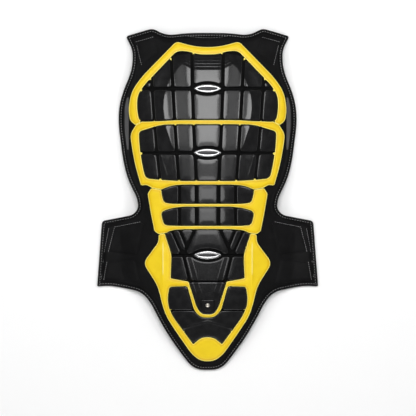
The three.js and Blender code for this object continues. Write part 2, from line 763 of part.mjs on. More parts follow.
function plates() {
  const { upper, middle, waist_high, waist_low, lumbar, tail } = WINDOWS;
  const [joint, end] = [PLATE_JOINTS, GROOVE_ENDS];
  const [neck, foot] = [1, -1]; // past both ends of any window
  const tailSide = (side) => {
    const [left, right] = side > 0 ? [0, PANEL_WIDTH] : [-PANEL_WIDTH, 0];
    return plateWithin(tail, rectangleLoop(left, right, joint.tail * HALF_LENGTH + ROW_GAP / 2, 0));
  };
  return [
    plate("plate_1", upper, neck, joint.upper, longGrooves(end.upper.high, joint.upper), BADGES[0]),
    plate("plate_2", upper, joint.upper, foot, longGrooves(joint.upper, end.upper.low), BADGES[0]),
    plate("plate_3", middle, neck, joint.middle, longGrooves(end.middle.high, joint.middle), BADGES[1]),
    plate("plate_4", middle, joint.middle, foot, longGrooves(joint.middle, end.middle.low), BADGES[1]),
    plate("plate_5", waist_high, neck, foot, longGrooves(end.waist_high.high, end.waist_high.low)),
    plate("plate_6", waist_low, neck, foot, longGrooves(end.waist_low.high, end.waist_low.low)),
    plate("plate_7", lumbar, neck, joint.lumbar, shortGrooves("plate_7"), BADGES[2]),
    plate("plate_8", lumbar, joint.lumbar, joint.tongue, shortGrooves("plate_8"), BADGES[2]),
    plate("tongue_plate", lumbar, joint.tongue, foot, []),
    draped("tail_plate_right", tailSide(1), SEAT, GLOSS_BLACK),
    draped("tail_plate_left", tailSide(-1), SEAT, GLOSS_BLACK),
    plate("tail_plate_lower", tail, joint.tail, foot, shortGrooves("tail_plate_lower")),
  ];
}

function badges() {
  return BADGES.flatMap(({ up }, i) => {
    const outer = ovalLoop(BADGE_LENGTH, BADGE_WIDTH, up, BADGE_EXPONENT, LARGE_OVAL_POINTS);
    const slot = ovalLoop(BADGE_SLOT_LENGTH, BADGE_SLOT_WIDTH, up, SLOT_EXPONENT, SMALL_OVAL_POINTS);
    const slotCutter = slab(slot, -CUT_OVERRUN, BADGE_HEIGHT + CUT_OVERRUN);
    const ring = chamferedSlab(outer, BADGE_HEIGHT, BADGE_CHAMFER).subtract(slotCutter);
    const insert = slab(offsetLoop(slot, -FIT_GAP), 0, BADGE_HEIGHT - BADGE_INSERT_DROP);
    return [
      draped(`badge_ring_${i + 1}`, ring, SEAT, CHROME),
      draped(`badge_insert_${i + 1}`, insert, SEAT, DARK_INSERT),
    ];
  });
}

function tongueLabel() {
  const seat = SEAT + PLATE_THICKNESS + FIT_GAP;
  const label = chamferedSlab(mirroredLoop(LABEL_OUTLINE), LABEL_THICKNESS, LABEL_CHAMFER);
  const round = ovalLoop(STUD_DIAMETER, STUD_DIAMETER, STUD_UP, ELLIPSE, SMALL_OVAL_POINTS);
  const stud = chamferedSlab(round, STUD_HEIGHT, STUD_CHAMFER);
  return [
    draped("tongue_label", label, seat, GLOSS_BLACK),
    draped("label_stud", stud, seat + LABEL_THICKNESS + FIT_GAP, SATIN_METAL),
  ];
}

const protector = new THREE.Group();
protector.add(
  backPanel(),
  edgeBinding(),
  sideBand("side_band_right", 1),
  sideBand("side_band_left", -1),
  ...frames(),
  ...plates(),
  ...badges(),
  ...tongueLabel(),
);

export default protector;
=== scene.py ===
# %% [markdown]
# # A back protector, plates up
#
# The real thing is a soft, arched panel with hard black plates on its outer side, held
# in yellow frames. Everything is drawn flat, as seen from above, and then laid over one
# curved form, as the real pieces are moulded and sewn to one curve. So each step below
# is a plan shape plus a height, and numpy works out both for whole arrays of points.

import bpy
import numpy as np
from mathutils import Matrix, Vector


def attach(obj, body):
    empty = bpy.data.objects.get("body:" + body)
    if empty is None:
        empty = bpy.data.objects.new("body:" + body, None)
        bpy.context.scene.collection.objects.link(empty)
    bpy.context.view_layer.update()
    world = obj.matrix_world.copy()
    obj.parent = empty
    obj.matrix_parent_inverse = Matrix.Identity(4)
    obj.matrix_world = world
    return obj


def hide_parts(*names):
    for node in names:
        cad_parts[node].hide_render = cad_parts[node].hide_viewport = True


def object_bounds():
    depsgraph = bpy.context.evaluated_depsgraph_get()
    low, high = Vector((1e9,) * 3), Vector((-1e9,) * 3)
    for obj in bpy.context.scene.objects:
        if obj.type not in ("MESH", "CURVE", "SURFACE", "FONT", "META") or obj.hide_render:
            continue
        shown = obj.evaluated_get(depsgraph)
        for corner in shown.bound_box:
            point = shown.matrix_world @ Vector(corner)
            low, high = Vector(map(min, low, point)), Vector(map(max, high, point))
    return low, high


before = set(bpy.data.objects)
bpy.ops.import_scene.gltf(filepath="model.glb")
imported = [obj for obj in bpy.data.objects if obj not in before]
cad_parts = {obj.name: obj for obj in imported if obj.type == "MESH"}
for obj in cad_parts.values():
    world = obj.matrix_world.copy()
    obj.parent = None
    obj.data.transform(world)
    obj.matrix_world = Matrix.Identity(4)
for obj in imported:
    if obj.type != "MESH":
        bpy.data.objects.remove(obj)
cad_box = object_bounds()
MM = 0.001
HALF_WIDTH = (cad_box[1][0] - cad_box[0][0]) / 2 / MM
HALF_LENGTH = (cad_box[1][1] - cad_box[0][1]) / 2 / MM
print("half width and length in mm:", round(HALF_WIDTH, 1), round(HALF_LENGTH, 1))

# %% [markdown]
# The solids say how thick each layer is, and the numbers here repeat their sizes in
# millimetres. STEP is the spacing of the points on a surface: about a millimetre keeps
# every rounded edge smooth and stays far below the limit on triangles.

# %% Sizes of the layers
CROWN_HEIGHT = 58.0
LANDING = 0.12
BINDING_WALL = 1.0
FIT_GAP = 0.3
RIM_THICKNESS = 4.0
RIM_WIDTH = 6.5
PANEL_THICKNESS = 9.0
PANEL_BASE = BINDING_WALL + FIT_GAP
SEAT = PANEL_BASE + PANEL_THICKNESS + 0.7
BINDING_HEIGHT = 2 * PANEL_BASE + RIM_THICKNESS
BINDING_WIDTH = 5.5
FRAME_THICKNESS = 5.0
PLATE_THICKNESS = 8.5
PLATE_GAP = 0.7
GROOVE_FLOOR = 3.2
GROOVE_WIDTH = 4.6
ROW_GAP = 5.0
STEP = 1.1
print("the plates lie this far above the arch, mm:", SEAT)

# %% [markdown]
# The arch is a parabola across the back whose height and width change from neck to
# tail. A short table gives both at a few places, and a cubic runs smoothly between the
# rows, so the surface has no kinks that a glossy plate would show.

# %% The arch that every piece is laid on
SPINE = np.array(
    [  # up, crown, span: shares of the half length, the crown's height and the half width
        (-1.0, 0.0, 0.44),
        (-0.8, 0.3, 0.58),
        (-0.6, 0.52, 0.72),
        (-0.35, 0.7, 0.78),
        (-0.1, 0.86, 0.79),
        (0.2, 1.0, 0.8),
        (0.5, 0.96, 0.81),
        (0.8, 0.72, 0.8),
        (1.0, 0.44, 0.78),
    ]
)


def along_back(y, column):
    """A cubic between the rows of SPINE whose slope at a row is that of the line
    through its two neighbours."""
    ups, values = SPINE[:, 0], SPINE[:, column]
    up = np.clip(y / HALF_LENGTH, -1, 1)
    i = np.clip(np.searchsorted(ups, up) - 1, 0, len(ups) - 2)
    before, after = np.maximum(i - 1, 0), np.minimum(i + 2, len(ups) - 1)
    step = ups[i + 1] - ups[i]
    s = (up - ups[i]) / step
    slope_a = (values[i + 1] - values[before]) / (ups[i + 1] - ups[before]) * step
    slope_b = (values[after] - values[i]) / (ups[after] - ups[i]) * step
    return (
        (2 * s**3 - 3 * s**2 + 1) * values[i]
        + (s**3 - 2 * s**2 + s) * slope_a
        + (3 * s**2 - 2 * s**3) * values[i + 1]
        + (s**3 - s**2) * slope_b
    )


def arch(x, y):
    """crown * (1 - (x / span)^2), which lands on the table along a second parabola."""
    crown = along_back(y, 1) * CROWN_HEIGHT
    rise = 1 - (x / (along_back(y, 2) * HALF_WIDTH)) ** 2
    landing = crown * (rise + LANDING) ** 2 / (4 * LANDING)
    return np.where(rise >= LANDING, crown * rise, np.where(rise <= -LANDING, 0.0, landing))


print("arch at the middle of the back, mm:", round(float(arch(0.0, 0.0)), 1))

# %% [markdown]
# An outline is a table of the corners of its right half: how far out and how far up
# each one lies, as shares of the half width and half length, and how much of its two
# sides the corner's arc takes up. A bezier tool in the viewport would do the same job,
# but a table can be read and changed in one place.

# %% Outlines of the panel, the frames and the windows
PANEL_OUTLINE = [
    (0.181, 0.979, 1), (0.371, 0.964, 1), (0.498, 1.0062, 0.5), (0.74, 0.96, 0.3),
    (0.678, 0.878, 0.9), (0.678, 0.8, 1), (0.7, 0.736, 1), (0.766, 0.634, 1),
    (0.802, 0.545, 1), (0.807, 0.443, 1), (0.786, 0.335, 1), (0.763, 0.222, 1),
    (0.722, 0.118, 1), (0.637, 0.008, 1), (0.626, -0.052, 1), (0.676, -0.09, 1),
    (0.956, -0.125, 0.2), (1.0005, -0.51, 0.16), (0.885, -0.505, 1), (0.745, -0.52, 1),
    (0.6, -0.542, 1), (0.517, -0.603, 1), (0.443, -0.699, 1), (0.353, -0.8, 1),
    (0.234, -0.91, 1), (0.122, -1.0, 1),
]
FRAME_OUTLINE = [
    (0.1, 0.895, 1), (0.284, 0.928, 0.35), (0.6, 0.718, 0.9), (0.692, 0.632, 1),
    (0.716, 0.53, 1), (0.701, 0.464, 0.8), (0.65, 0.436, 0.3), (0.7, 0.384, 0.9),
    (0.685, 0.31, 1), (0.656, 0.205, 1), (0.602, 0.083, 0.1), (0.552, 0.087, 0.6),
    (0.506, 0.071, 0.3), (0.542, 0.035, 0.4), (0.513, -0.08, 1), (0.48, -0.184, 0.25),
    (0.442, -0.203, 0.5), (0.444, -0.25, 1), (0.583, -0.372, 0.5), (0.447, -0.51, 1),
    (0.415, -0.605, 1), (0.375, -0.685, 1), (0.27, -0.79, 1), (0.14, -0.91, 1),
    (0.06, -0.949, 1),
]
WINDOWS = {
    "upper": [
        (0.085, 0.852, 1), (0.172, 0.87, 0.8), (0.276, 0.874, 0.9), (0.345, 0.827, 0.6),
        (0.575, 0.672, 1), (0.633, 0.615, 1), (0.64, 0.54, 1), (0.619, 0.456, 0.8),
        (0.45, 0.459, 1), (0.27, 0.466, 1),
    ],
    "middle": [
        (0.27, 0.442, 1), (0.42, 0.44, 1), (0.548, 0.415, 1), (0.622, 0.4, 0.8),
        (0.616, 0.31, 1), (0.59, 0.2, 1), (0.562, 0.124, 0.8), (0.45, 0.117, 1),
        (0.27, 0.109, 1),
    ],
    "waist_high": [
        (0.25, 0.088, 1), (0.34, 0.08, 1), (0.424, 0.056, 0.8), (0.395, -0.018, 0.8),
        (0.31, -0.025, 1),
    ],
    "waist_low": [
        (0.22, -0.041, 1), (0.32, -0.049, 1), (0.425, -0.071, 0.8), (0.395, -0.149, 0.8),
        (0.31, -0.154, 1),
    ],
    "lumbar": [
        (0.2, -0.173, 1), (0.32, -0.178, 1), (0.388, -0.199, 0.7), (0.325, -0.322, 0.5),
        (0.334, -0.462, 0.2), (0.172, -0.481, 0.12), (0.102, -0.624, 0.7),
        (0.058, -0.674, 1),
    ],
    "tail": [
        (0.062, -0.692, 1), (0.122, -0.65, 0.8), (0.184, -0.508, 0.25),
        (0.346, -0.512, 0.35), (0.366, -0.6, 1), (0.322, -0.68, 1), (0.13, -0.85, 0.25),
        (0.056, -0.808, 1),
    ],
}
ARC_POINTS = 7


def place(out, up):
    return np.array([out * HALF_WIDTH, up * HALF_LENGTH])


def rounded(corners, rounds):
    """Each corner is replaced by a parabola, a quadratic Bezier curve whose ends lie on
    the corner's two sides and whose middle point is the corner."""
    corners = np.asarray(corners, float)
    to_before = np.roll(corners, 1, 0) - corners
    to_after = np.roll(corners, -1, 0) - corners
    lengths = [np.linalg.norm(way, axis=1) for way in (to_before, to_after)]
    reach = np.minimum(*lengths) / 2 * np.asarray(rounds)
    start = corners + to_before * (reach / lengths[0])[:, None]
    end = corners + to_after * (reach / lengths[1])[:, None]
    t = np.linspace(0, 1, ARC_POINTS)[None, :, None]
    arcs = (1 - t) ** 2 * start[:, None] + 2 * t * (1 - t) * corners[:, None] + t**2 * end[:, None]
    loop = arcs.reshape(-1, 2)
    return loop[np.linalg.norm(np.roll(loop, -1, 0) - loop, axis=1) > 0.05]


def curved(rows):
    """The rounded loop through the rows of a table."""
    return rounded([place(out, up) for out, up, _ in rows], [row[2] for row in rows])


def mirrored(rows):
    """The whole outline from its right half, clockwise from the middle of the top."""
    return curved(rows + [(-out, up, share) for out, up, share in reversed(rows)])


def box_of(loop):
    """The lowest and highest x of a loop, and the lowest and highest y."""
    return (loop[:, 0].min(), loop[:, 0].max()), (loop[:, 1].min(), loop[:, 1].max())


EDGE = mirrored(PANEL_OUTLINE)
FRAME_EDGE = mirrored(FRAME_OUTLINE)
WINDOW_LOOPS = {name: mirrored(rows) for name, rows in WINDOWS.items()}
print("points in the panel's outline:", len(EDGE))

# %% [markdown]
# Each plan shape is then a distance function: how far a point lies from the edge,
# negative inside. Distances are easy to combine. The larger of two cuts one shape with
# the other, the smaller joins them, and adding to one shrinks the shape.

# %% Distances to outlines
def distance_to(loop, x, y):
    """The distance to the nearest of the loop's straight pieces, negative where a ray
    towards +X crosses the loop an odd number of times."""
    nearest = np.full(np.shape(x), np.inf)
    inside = np.zeros(np.shape(x), bool)
    for (ax, ay), (bx, by) in zip(loop, np.roll(loop, -1, 0)):
        dx, dy = bx - ax, by - ay
        along = np.clip(((x - ax) * dx + (y - ay) * dy) / (dx * dx + dy * dy), 0, 1)
        nearest = np.minimum(nearest, (x - ax - along * dx) ** 2 + (y - ay - along * dy) ** 2)
        if ay != by:
            inside ^= ((ay > y) != (by > y)) & (x < ax + (y - ay) * dx / dy)
    return np.where(inside, -1, 1) * np.sqrt(nearest)


def side_of(a, b, x, y):
    """The distance to the line through a and b, positive to the right of the way a to b."""
    (ax, ay), (bx, by) = a, b
    return ((x - ax) * (by - ay) - (y - ay) * (bx - ax)) / np.hypot(bx - ax, by - ay)


def cut(*distances, soft=0.0):
    """The larger distance at each point, with corners rounded by about soft."""
    whole = distances[0]
    for other in distances[1:]:
        whole = (whole + other + np.sqrt((whole - other) ** 2 + soft * soft)) / 2
    return whole


def joined(*distances):
    return np.minimum.reduce(distances)


def ramp(value, low, high):
    """0 below low, 1 above high and a smooth S between."""
    t = np.clip((value - low) / (high - low), 0, 1)
    return t * t * (3 - 2 * t)


middle_depth = -distance_to(EDGE, np.zeros(1), np.zeros(1))[0]
print("from the middle of the back to the nearest edge, mm:", round(float(middle_depth), 1))

# %% [markdown]
# One function turns a distance into a solid form. It lays a square grid over the shape,
# keeps the squares that are inside, and slides the points along their border onto the
# line where the rounding starts. From there rings of points carry the rounded edge over
# and the wall down. A remesh of a cut solid would give the same outline with ragged
# edges. This way each edge is a clean curve, whatever the grid does inside it.

# %% Forms from distances
RIM_RINGS = 4
BORDER_ROOM = 0.35  # of a step, between the squares that are kept and the rim
SLIDES = 4
HAIR = 0.05


def slopes(distance, x, y):
    """The direction in which the distance grows, by small differences, as unit vectors."""
    gx = distance(x + HAIR, y) - distance(x - HAIR, y)
    gy = distance(x, y + HAIR) - distance(x, y - HAIR)
    size = np.maximum(np.hypot(gx, gy), 1e-9)
    return gx / size, gy / size


def raised(distance, box, top, lift=SEAT, rim=1.2, foot=0.0, step=STEP):
    """A closed form over the points where distance is negative. box is the part of the
    plan to look in. top(x, y, d) is its height, foot that of its underside, and rim the
    radius of its upper edge. Gives corners, faces and how far in each corner lies."""
    (x0, x1), (y0, y1) = box
    columns = max(int(np.ceil((x1 - x0) / step)), 2)
    rows = max(int(np.ceil((y1 - y0) / step)), 2)
    x, y = np.meshgrid(np.linspace(x0, x1, columns + 1), np.linspace(y0, y1, rows + 1))
    inside = distance(x, y) < -rim - BORDER_ROOM * step
    kept = inside[:-1, :-1] & inside[1:, :-1] & inside[:-1, 1:] & inside[1:, 1:]
    for _ in range(2):
        kept[1:, 1:] &= ~(kept[:-1, :-1] & ~kept[:-1, 1:] & ~kept[1:, :-1])
        kept[1:, :-1] &= ~(kept[:-1, 1:] & ~kept[:-1, :-1] & ~kept[1:, 1:])
    room = np.pad(kept, 1)
    count = room[:-1, :-1].astype(int) + room[1:, :-1] + room[:-1, 1:] + room[1:, 1:]
    used, border, inner = count > 0, (count > 0) & (count < 4), count == 4
    for _ in range(SLIDES):
        bx, by = x[border], y[border]
        nx, ny = slopes(distance, bx, by)
        shift = -rim - distance(bx, by)
        x[border], y[border] = bx + nx * shift, by + ny * shift
        for grid in (x, y):
            mean = grid.copy()
            beside = grid[:-2, 1:-1] + grid[2:, 1:-1] + grid[1:-1, :-2] + grid[1:-1, 2:]
            mean[1:-1, 1:-1] = beside / 4
            grid[inner] = (grid[inner] + mean[inner]) / 2
    index = np.full(x.shape, -1)
    index[used] = np.arange(used.sum())
    px, py = x[used], y[used]
    rim_of = np.flatnonzero(border[used])
    nx, ny = slopes(distance, px[rim_of], py[rim_of])
    depth = np.minimum(distance(px, py), -rim)
    z = top(px, py, depth)
    layers = [(px, py, z + lift, -depth)]
    for angle in np.linspace(0, np.pi / 2, RIM_RINGS + 1)[1:]:
        out = rim * np.sin(angle)
        qx, qy = px[rim_of] + nx * out, py[rim_of] + ny * out
        qz = top(qx, qy, np.full(qx.shape, -rim)) - rim * (1 - np.cos(angle))
        layers.append((qx, qy, qz + lift, np.full(qx.shape, rim - out)))
    layers.append((qx, qy, np.full(qx.shape, foot + lift), np.zeros(qx.shape)))
    inner_of = np.flatnonzero(inner[used])
    flat = np.full(len(inner_of), foot + lift)
    layers.append((px[inner_of], py[inner_of], flat, np.zeros(len(inner_of))))
    starts = np.cumsum([0] + [len(layer[0]) for layer in layers])
    a, b = index[:-1, :-1][kept], index[:-1, 1:][kept]
    c, d = index[1:, 1:][kept], index[1:, :-1][kept]
    faces = [np.stack([a, b, c, d], 1)]
    ring = np.zeros(starts[1], int)
    ring[rim_of] = np.arange(len(rim_of))
    sides = []
    for sy, sx, ends in ((0, 1, (a, b)), (1, 2, (b, c)), (2, 1, (c, d)), (1, 0, (d, a))):
        beyond = room[sy : sy + kept.shape[0], sx : sx + kept.shape[1]]
        open_side = ~beyond[kept]
        sides.append(np.stack([ends[0][open_side], ends[1][open_side]], 1))
    sides = np.concatenate(sides)
    upper = sides
    for k in range(1, RIM_RINGS + 2):
        lower = ring[sides] + starts[k]
        faces.append(np.stack([upper[:, 1], upper[:, 0], lower[:, 0], lower[:, 1]], 1))
        upper = lower
    below = np.zeros(starts[1], int)
    below[rim_of] = np.arange(len(rim_of)) + starts[RIM_RINGS + 1]
    below[inner_of] = np.arange(len(inner_of)) + starts[RIM_RINGS + 2]
    faces.append(below[np.stack([d, c, b, a], 1)])
    x, y, z, inset = (np.concatenate([layer[k] for layer in layers]) for k in range(4))
    return np.stack([x, y, z + arch(x, y)], 1), np.concatenate(faces), inset


def piece(name, forms, finishes):
    """One object from a list of forms, each with its own finish, in metres."""
    sizes = np.cumsum([0] + [len(form[0]) for form in forms])
    corners = np.concatenate([form[0] for form in forms]) * MM
    faces = np.concatenate([form[1] + start for form, start in zip(forms, sizes)])
    mesh = bpy.data.meshes.new(name)
    mesh.from_pydata(corners.tolist(), [], faces.tolist())
    order = list(dict.fromkeys(finishes))
    for finish in order:
        mesh.materials.append(finish)
    slots = np.repeat([order.index(f) for f in finishes], [len(form[1]) for form in forms])
    mesh.polygons.foreach_set("material_index", slots.astype(np.int32))
    mesh.polygons.foreach_set("use_smooth", np.full(len(faces), True))
    insets = np.concatenate([form[2] for form in forms])
    inset = mesh.attributes.new("inset", "FLOAT", "POINT")
    inset.data.foreach_set("value", insets.astype(np.float32))
    obj = bpy.data.objects.new(name, mesh)
    bpy.context.collection.objects.link(obj)
    print(name, "has", len(faces), "faces")
    return obj


# %% [markdown]
# ## Finishes
#
# Finishes come next. Each one is a Principled shader, and the maths that varies a colour
# or a bump is written as an expression on sockets: a small class turns + and * into Math
# nodes, so a formula in the code is a formula in the material.

# %% Shader maths
class Value:
    """A socket that takes +, - and * with numbers or other values."""

    def __init__(self, finish, socket):
        self.finish, self.socket = finish, socket

    def math(self, operation, first, second):
        return self.finish.node("ShaderNodeMath", {"operation": operation}, {0: first, 1: second})

    def __add__(self, other):
        return self.math("ADD", self, other)

    def __sub__(self, other):
        return self.math("SUBTRACT", self, other)

    def __mul__(self, other):
        return self.math("MULTIPLY", self, other)

    def __rsub__(self, other):
        return self.math("SUBTRACT", other, self)

    __radd__ = __add__
    __rmul__ = __mul__

    def size(self):
        return self.math("ABSOLUTE", self, 0)

    def above(self, low, high):
        """0 where the value is below low, 1 above high, and a smooth step between."""
        settings = {"interpolation_type": "SMOOTHSTEP"}
        return self.finish.node("ShaderNodeMapRange", settings, {"Value": self, 1: low, 2: high})


class Finish:
    """A material with one Principled shader. node() adds any other node to it."""

    def __init__(self, name, color, roughness, metallic=0.0, **constants):
        self.material = bpy.data.materials.new(name)
        self.material.use_nodes = True
        self.tree = self.material.node_tree
        self.shader = self.tree.nodes["Principled BSDF"]
        self.put(self.shader.inputs["Base Color"], (*color, 1))
        self.put(self.shader.inputs["Roughness"], roughness)
        self.put(self.shader.inputs["Metallic"], metallic)
        for socket, value in constants.items():
            self.put(self.shader.inputs[socket.replace("_", " ")], value)
        self.place = Value(self, self.tree.nodes.new("ShaderNodeTexCoord").outputs["Object"])

    def put(self, socket, value):
        if isinstance(value, Value):
            self.tree.links.new(value.socket, socket)
        else:
            socket.default_value = value

    def node(self, kind, settings=None, inputs=None, output=0):
        node = self.tree.nodes.new(kind)
        for name, value in (settings or {}).items():
            setattr(node, name, value)
        for socket, value in (inputs or {}).items():
            self.put(node.inputs[socket], value)
        return Value(self, node.outputs[output])

    def noise(self, scale, detail=3.0):
        inputs = {"Vector": self.place, "Scale": scale, "Detail": detail}
        return self.node("ShaderNodeTexNoise", {}, inputs)

    def part_of_place(self, axis):
        return self.node("ShaderNodeSeparateXYZ", {}, {"Vector": self.place}, output=axis)

    def inset(self):
        """How many millimetres in from the piece's edge a point lies."""
        return self.node("ShaderNodeAttribute", {"attribute_name": "inset"}, output="Fac")

    def blend(self, mask, first, second):
        settings = {"data_type": "RGBA"}
        colors = [c if isinstance(c, Value) else (*c, 1) for c in (first, second)]
        return self.node("ShaderNodeMix", settings, {0: mask, 6: colors[0], 7: colors[1]}, output=2)

    def set(self, socket, value):
        self.put(self.shader.inputs[socket], value)

    def bump(self, height, strength, distance_mm):
        inputs = {"Height": height, "Strength": strength, "Distance": distance_mm * MM}
        self.set("Normal", self.node("ShaderNodeBump", {}, inputs))


# %% [markdown]
# The moulded plates are glossy black. Their look is almost all reflection, so the colour
# is nearly black, the gloss varies a little from place to place, and a faint bump keeps
# the lights' reflections from looking like those of polished glass.

# %% Finishes of the hard pieces
def plate_finish():
    finish = Finish("glossy black moulding", (0.006, 0.006, 0.0065), 0.16)
    worn = finish.noise(90.0).above(0.35, 0.7)
    color = finish.blend(worn, (0.004, 0.004, 0.0045), (0.009, 0.009, 0.0095))
    finish.set("Base Color", color)
    finish.set("Roughness", 0.11 + 0.08 * finish.noise(420.0))
    finish.bump(finish.noise(700.0), 0.12, 0.1)
    return finish.material


def groove_shade_finish():
    """Painted shade: the bottom of a groove is darker and duller than the tiles, so that the grooves
    read as black lines.
    """
    finish = Finish("dull groove bottom in painted shade", (0.003, 0.003, 0.003), 0.8, Specular_IOR_Level=0.08)
    finish.bump(finish.noise(500.0), 0.3, 0.1)
    return finish.material


HIP_RIDGE = (0.403, -0.42, -0.27)  # out, and up from and to


def painted_ridge_highlight(finish):
    """1 along the ridge down each hip lobe, where a pale painted highlight lies on the yellow."""
    out, low, high = HIP_RIDGE
    x, y = finish.part_of_place(0), finish.part_of_place(1)
    from_ridge = (x.size() - out * HALF_WIDTH * MM).size()
    along = y.above((low - 0.03) * HALF_LENGTH * MM, low * HALF_LENGTH * MM)
    ended = y.above(high * HALF_LENGTH * MM, (high + 0.03) * HALF_LENGTH * MM)
    return (1 - from_ridge.above(0.3 * MM, 1.7 * MM)) * along * (1 - ended)


def yellow_finish():
    """A painted orange shade some way in from the edge, a painted pale highlight right on it and
    along each hip ridge, and slightly uneven tone.
    """
    finish = Finish("yellow moulding", (0.86, 0.62, 0.012), 0.38, Specular_IOR_Level=0.3)
    inset = finish.inset()
    cloud = finish.noise(60.0).above(0.3, 0.75)
    # Painted shade: an orange band a few millimetres in from the edge, mixed with the random uneven
    # tone of cloud.
    shade = inset.above(0.8, 1.8) * (1 - inset.above(2.2, 5.5)) * 0.5 + cloud * 0.2
    body = finish.blend(shade, (0.86, 0.62, 0.012), (0.69, 0.4, 0.004))
    # Painted highlight: pale yellow along each hip ridge.
    ridge_highlighted = finish.blend(0.6 * painted_ridge_highlight(finish), body, (0.95, 0.87, 0.3))
    # Painted highlight: a pale line right on the rounded rim of the moulding.
    finish.set("Base Color", finish.blend(1 - inset.above(0.5, 1.5), ridge_highlighted, (0.95, 0.85, 0.2)))
    finish.set("Roughness", 0.34 + 0.12 * finish.noise(300.0))
    finish.bump(finish.noise(1300.0, 5.0), 0.3, 0.1)
    return finish.material


def chrome_finish():
    finish = Finish("polished chrome", (0.42, 0.42, 0.425), 0.26, 1.0)
    finish.set("Roughness", 0.22 + 0.08 * finish.noise(250.0))
    return finish.material


def insert_finish():
    finish = Finish("dark satin insert", (0.05, 0.05, 0.053), 0.5, Specular_IOR_Level=0.25)
    finish.bump(finish.noise(700.0), 0.2, 0.1)
    return finish.material


def stud_finish():
    finish = Finish("satin metal", (0.55, 0.52, 0.46), 0.3, 1.0)
    finish.set("Roughness", 0.25 + 0.15 * finish.noise(600.0))
    return finish.material


PLATE = plate_finish()
GROOVE = groove_shade_finish()
YELLOW = yellow_finish()
CHROME = chrome_finish()
INSERT = insert_finish()
STUD = stud_finish()
print("finishes of the hard pieces:", len(bpy.data.materials))

# %% [markdown]
# Cloth is the opposite of the plates: hardly any reflection and all texture. Two crossed
# wave patterns give the weave its threads, and a slow noise gives the uneven dye and
# wear of nylon.

# %% Finishes of the soft pieces
def woven(name, dark, light, thread_mm, roughness, strength, shine):
    """Threads across and along, one wave texture each, at thread_mm from one to the next.
    A wave texture of scale 1 repeats every 0.314 m."""
    finish = Finish(name, dark, roughness, Specular_IOR_Level=shine)
    turns = 0.314 / (thread_mm * MM)
    across, along = (
        finish.node(
            "ShaderNodeTexWave",
            {"bands_direction": way},
            {"Vector": finish.place, "Scale": turns, "Distortion": 0.4, "Detail": 1.0},
        )
        for way in ("X", "Y")
    )
    threads = across * along
    wear = finish.noise(35.0, 4.0).above(0.3, 0.75)
    mix = (threads * 0.5 + wear * 0.5).above(0.0, 1.0)
    finish.set("Base Color", finish.blend(mix, dark, light))
    finish.bump(threads + 0.6 * finish.noise(260.0, 4.0), strength, 0.5)
    return finish.material


BLACK_THREADS = (0.0025, 0.0025, 0.0027), (0.0075, 0.0075, 0.008)
TAPE_THREADS = (0.002, 0.002, 0.002), (0.005, 0.005, 0.005)
BAND_THREADS = (0.07, 0.07, 0.072), (0.11, 0.11, 0.113)
# Pale thread, lighter than plain stitching: its rows also stand for painted highlights along the
# tape's inner edge, the collar and the pads' edges.
PALE_THREADS = (0.2, 0.2, 0.203), (0.4, 0.4, 0.405)
FABRIC = woven("black nylon", *BLACK_THREADS, 1.3, 0.6, 0.35, 0.1)
TAPE = woven("shiny black tape", *TAPE_THREADS, 1.0, 0.4, 0.15, 0.12)
BAND = woven("grey stretch band", *BAND_THREADS, 1.6, 0.7, 0.5, 0.2)
THREAD_AND_HIGHLIGHT = woven("grey thread and painted highlight", *PALE_THREADS, 0.5, 0.6, 0.3, 0.3)
print("finishes in all:", len(bpy.data.materials))

# %% [markdown]
# ## The soft panel
#
# The panel is foam between two cloths, pressed thin round its edge where the tape holds
# it. Seams press narrow valleys into it, and the height function of one form has them
# all. It is a laminate that hardly gives, so it needs no cloth simulation.

# %% The panel
PADS = [
    [(0.838, -0.164, 0.2), (0.89, -0.305, 0.2), (0.642, -0.325, 0.2), (0.578, -0.13, 0.2)],
    [(0.903, -0.368, 0.2), (0.933, -0.475, 0.2), (0.612, -0.49, 0.2), (0.66, -0.352, 0.2)],
    [(0.492, 0.954, 0.2), (0.642, 0.927, 0.2), (0.6, 0.79, 0.3), (0.45, 0.87, 0.3)],
]
SEAM_DEPTH = 0.7
END_SEAM = [place(0.896, -0.172), place(0.941, -0.326), place(0.96, -0.47)]
FOLD_HEIGHT = 0.45
FOLD_WAVES = [  # turns for each mm across and up, in radians, and where the wave starts
    (0.021, 0.034, 0.4),
    (-0.043, 0.027, 1.9),
    (0.067, -0.052, 3.1),
    (0.018, -0.09, 5.0),
]


def soft_folds(x, y):
    """Shallow uneven swells: the mean of a few sine waves of different directions."""
    return sum(np.sin(kx * x + ky * y + start) for kx, ky, start in FOLD_WAVES) / len(FOLD_WAVES)


def panel_height(x, y, d):
    """Thin at the rim, full thickness further in, less a bell-shaped valley along each
    seam, plus the folds."""
    full = ramp(-d, RIM_WIDTH - 1.5, RIM_WIDTH + 5)
    height = RIM_THICKNESS + (PANEL_THICKNESS - RIM_THICKNESS) * full
    for rows in PADS:
        to_pad = distance_to(curved(rows), np.abs(x), y)
        height -= SEAM_DEPTH * np.exp(-((to_pad - 1.2) ** 2) / 1.6)
    for a, b in zip(END_SEAM[:-1], END_SEAM[1:]):
        reach = (np.abs(x) - a[0]) * (b[0] - a[0]) + (y - a[1]) * (b[1] - a[1])
        along = np.clip(reach / ((b[0] - a[0]) ** 2 + (b[1] - a[1]) ** 2), 0, 1)
        across, up = a[0] + along * (b[0] - a[0]), a[1] + along * (b[1] - a[1])
        gap = np.hypot(np.abs(x) - across, y - up)
        height -= SEAM_DEPTH * np.exp(-(gap**2) / 1.4)
    return height + FOLD_HEIGHT * soft_folds(x, y) * ramp(-d, RIM_WIDTH, RIM_WIDTH + 10)


PANEL_STEP = 2.2


def panel_plan(x, y):
    return distance_to(EDGE, x, y) + PANEL_BASE


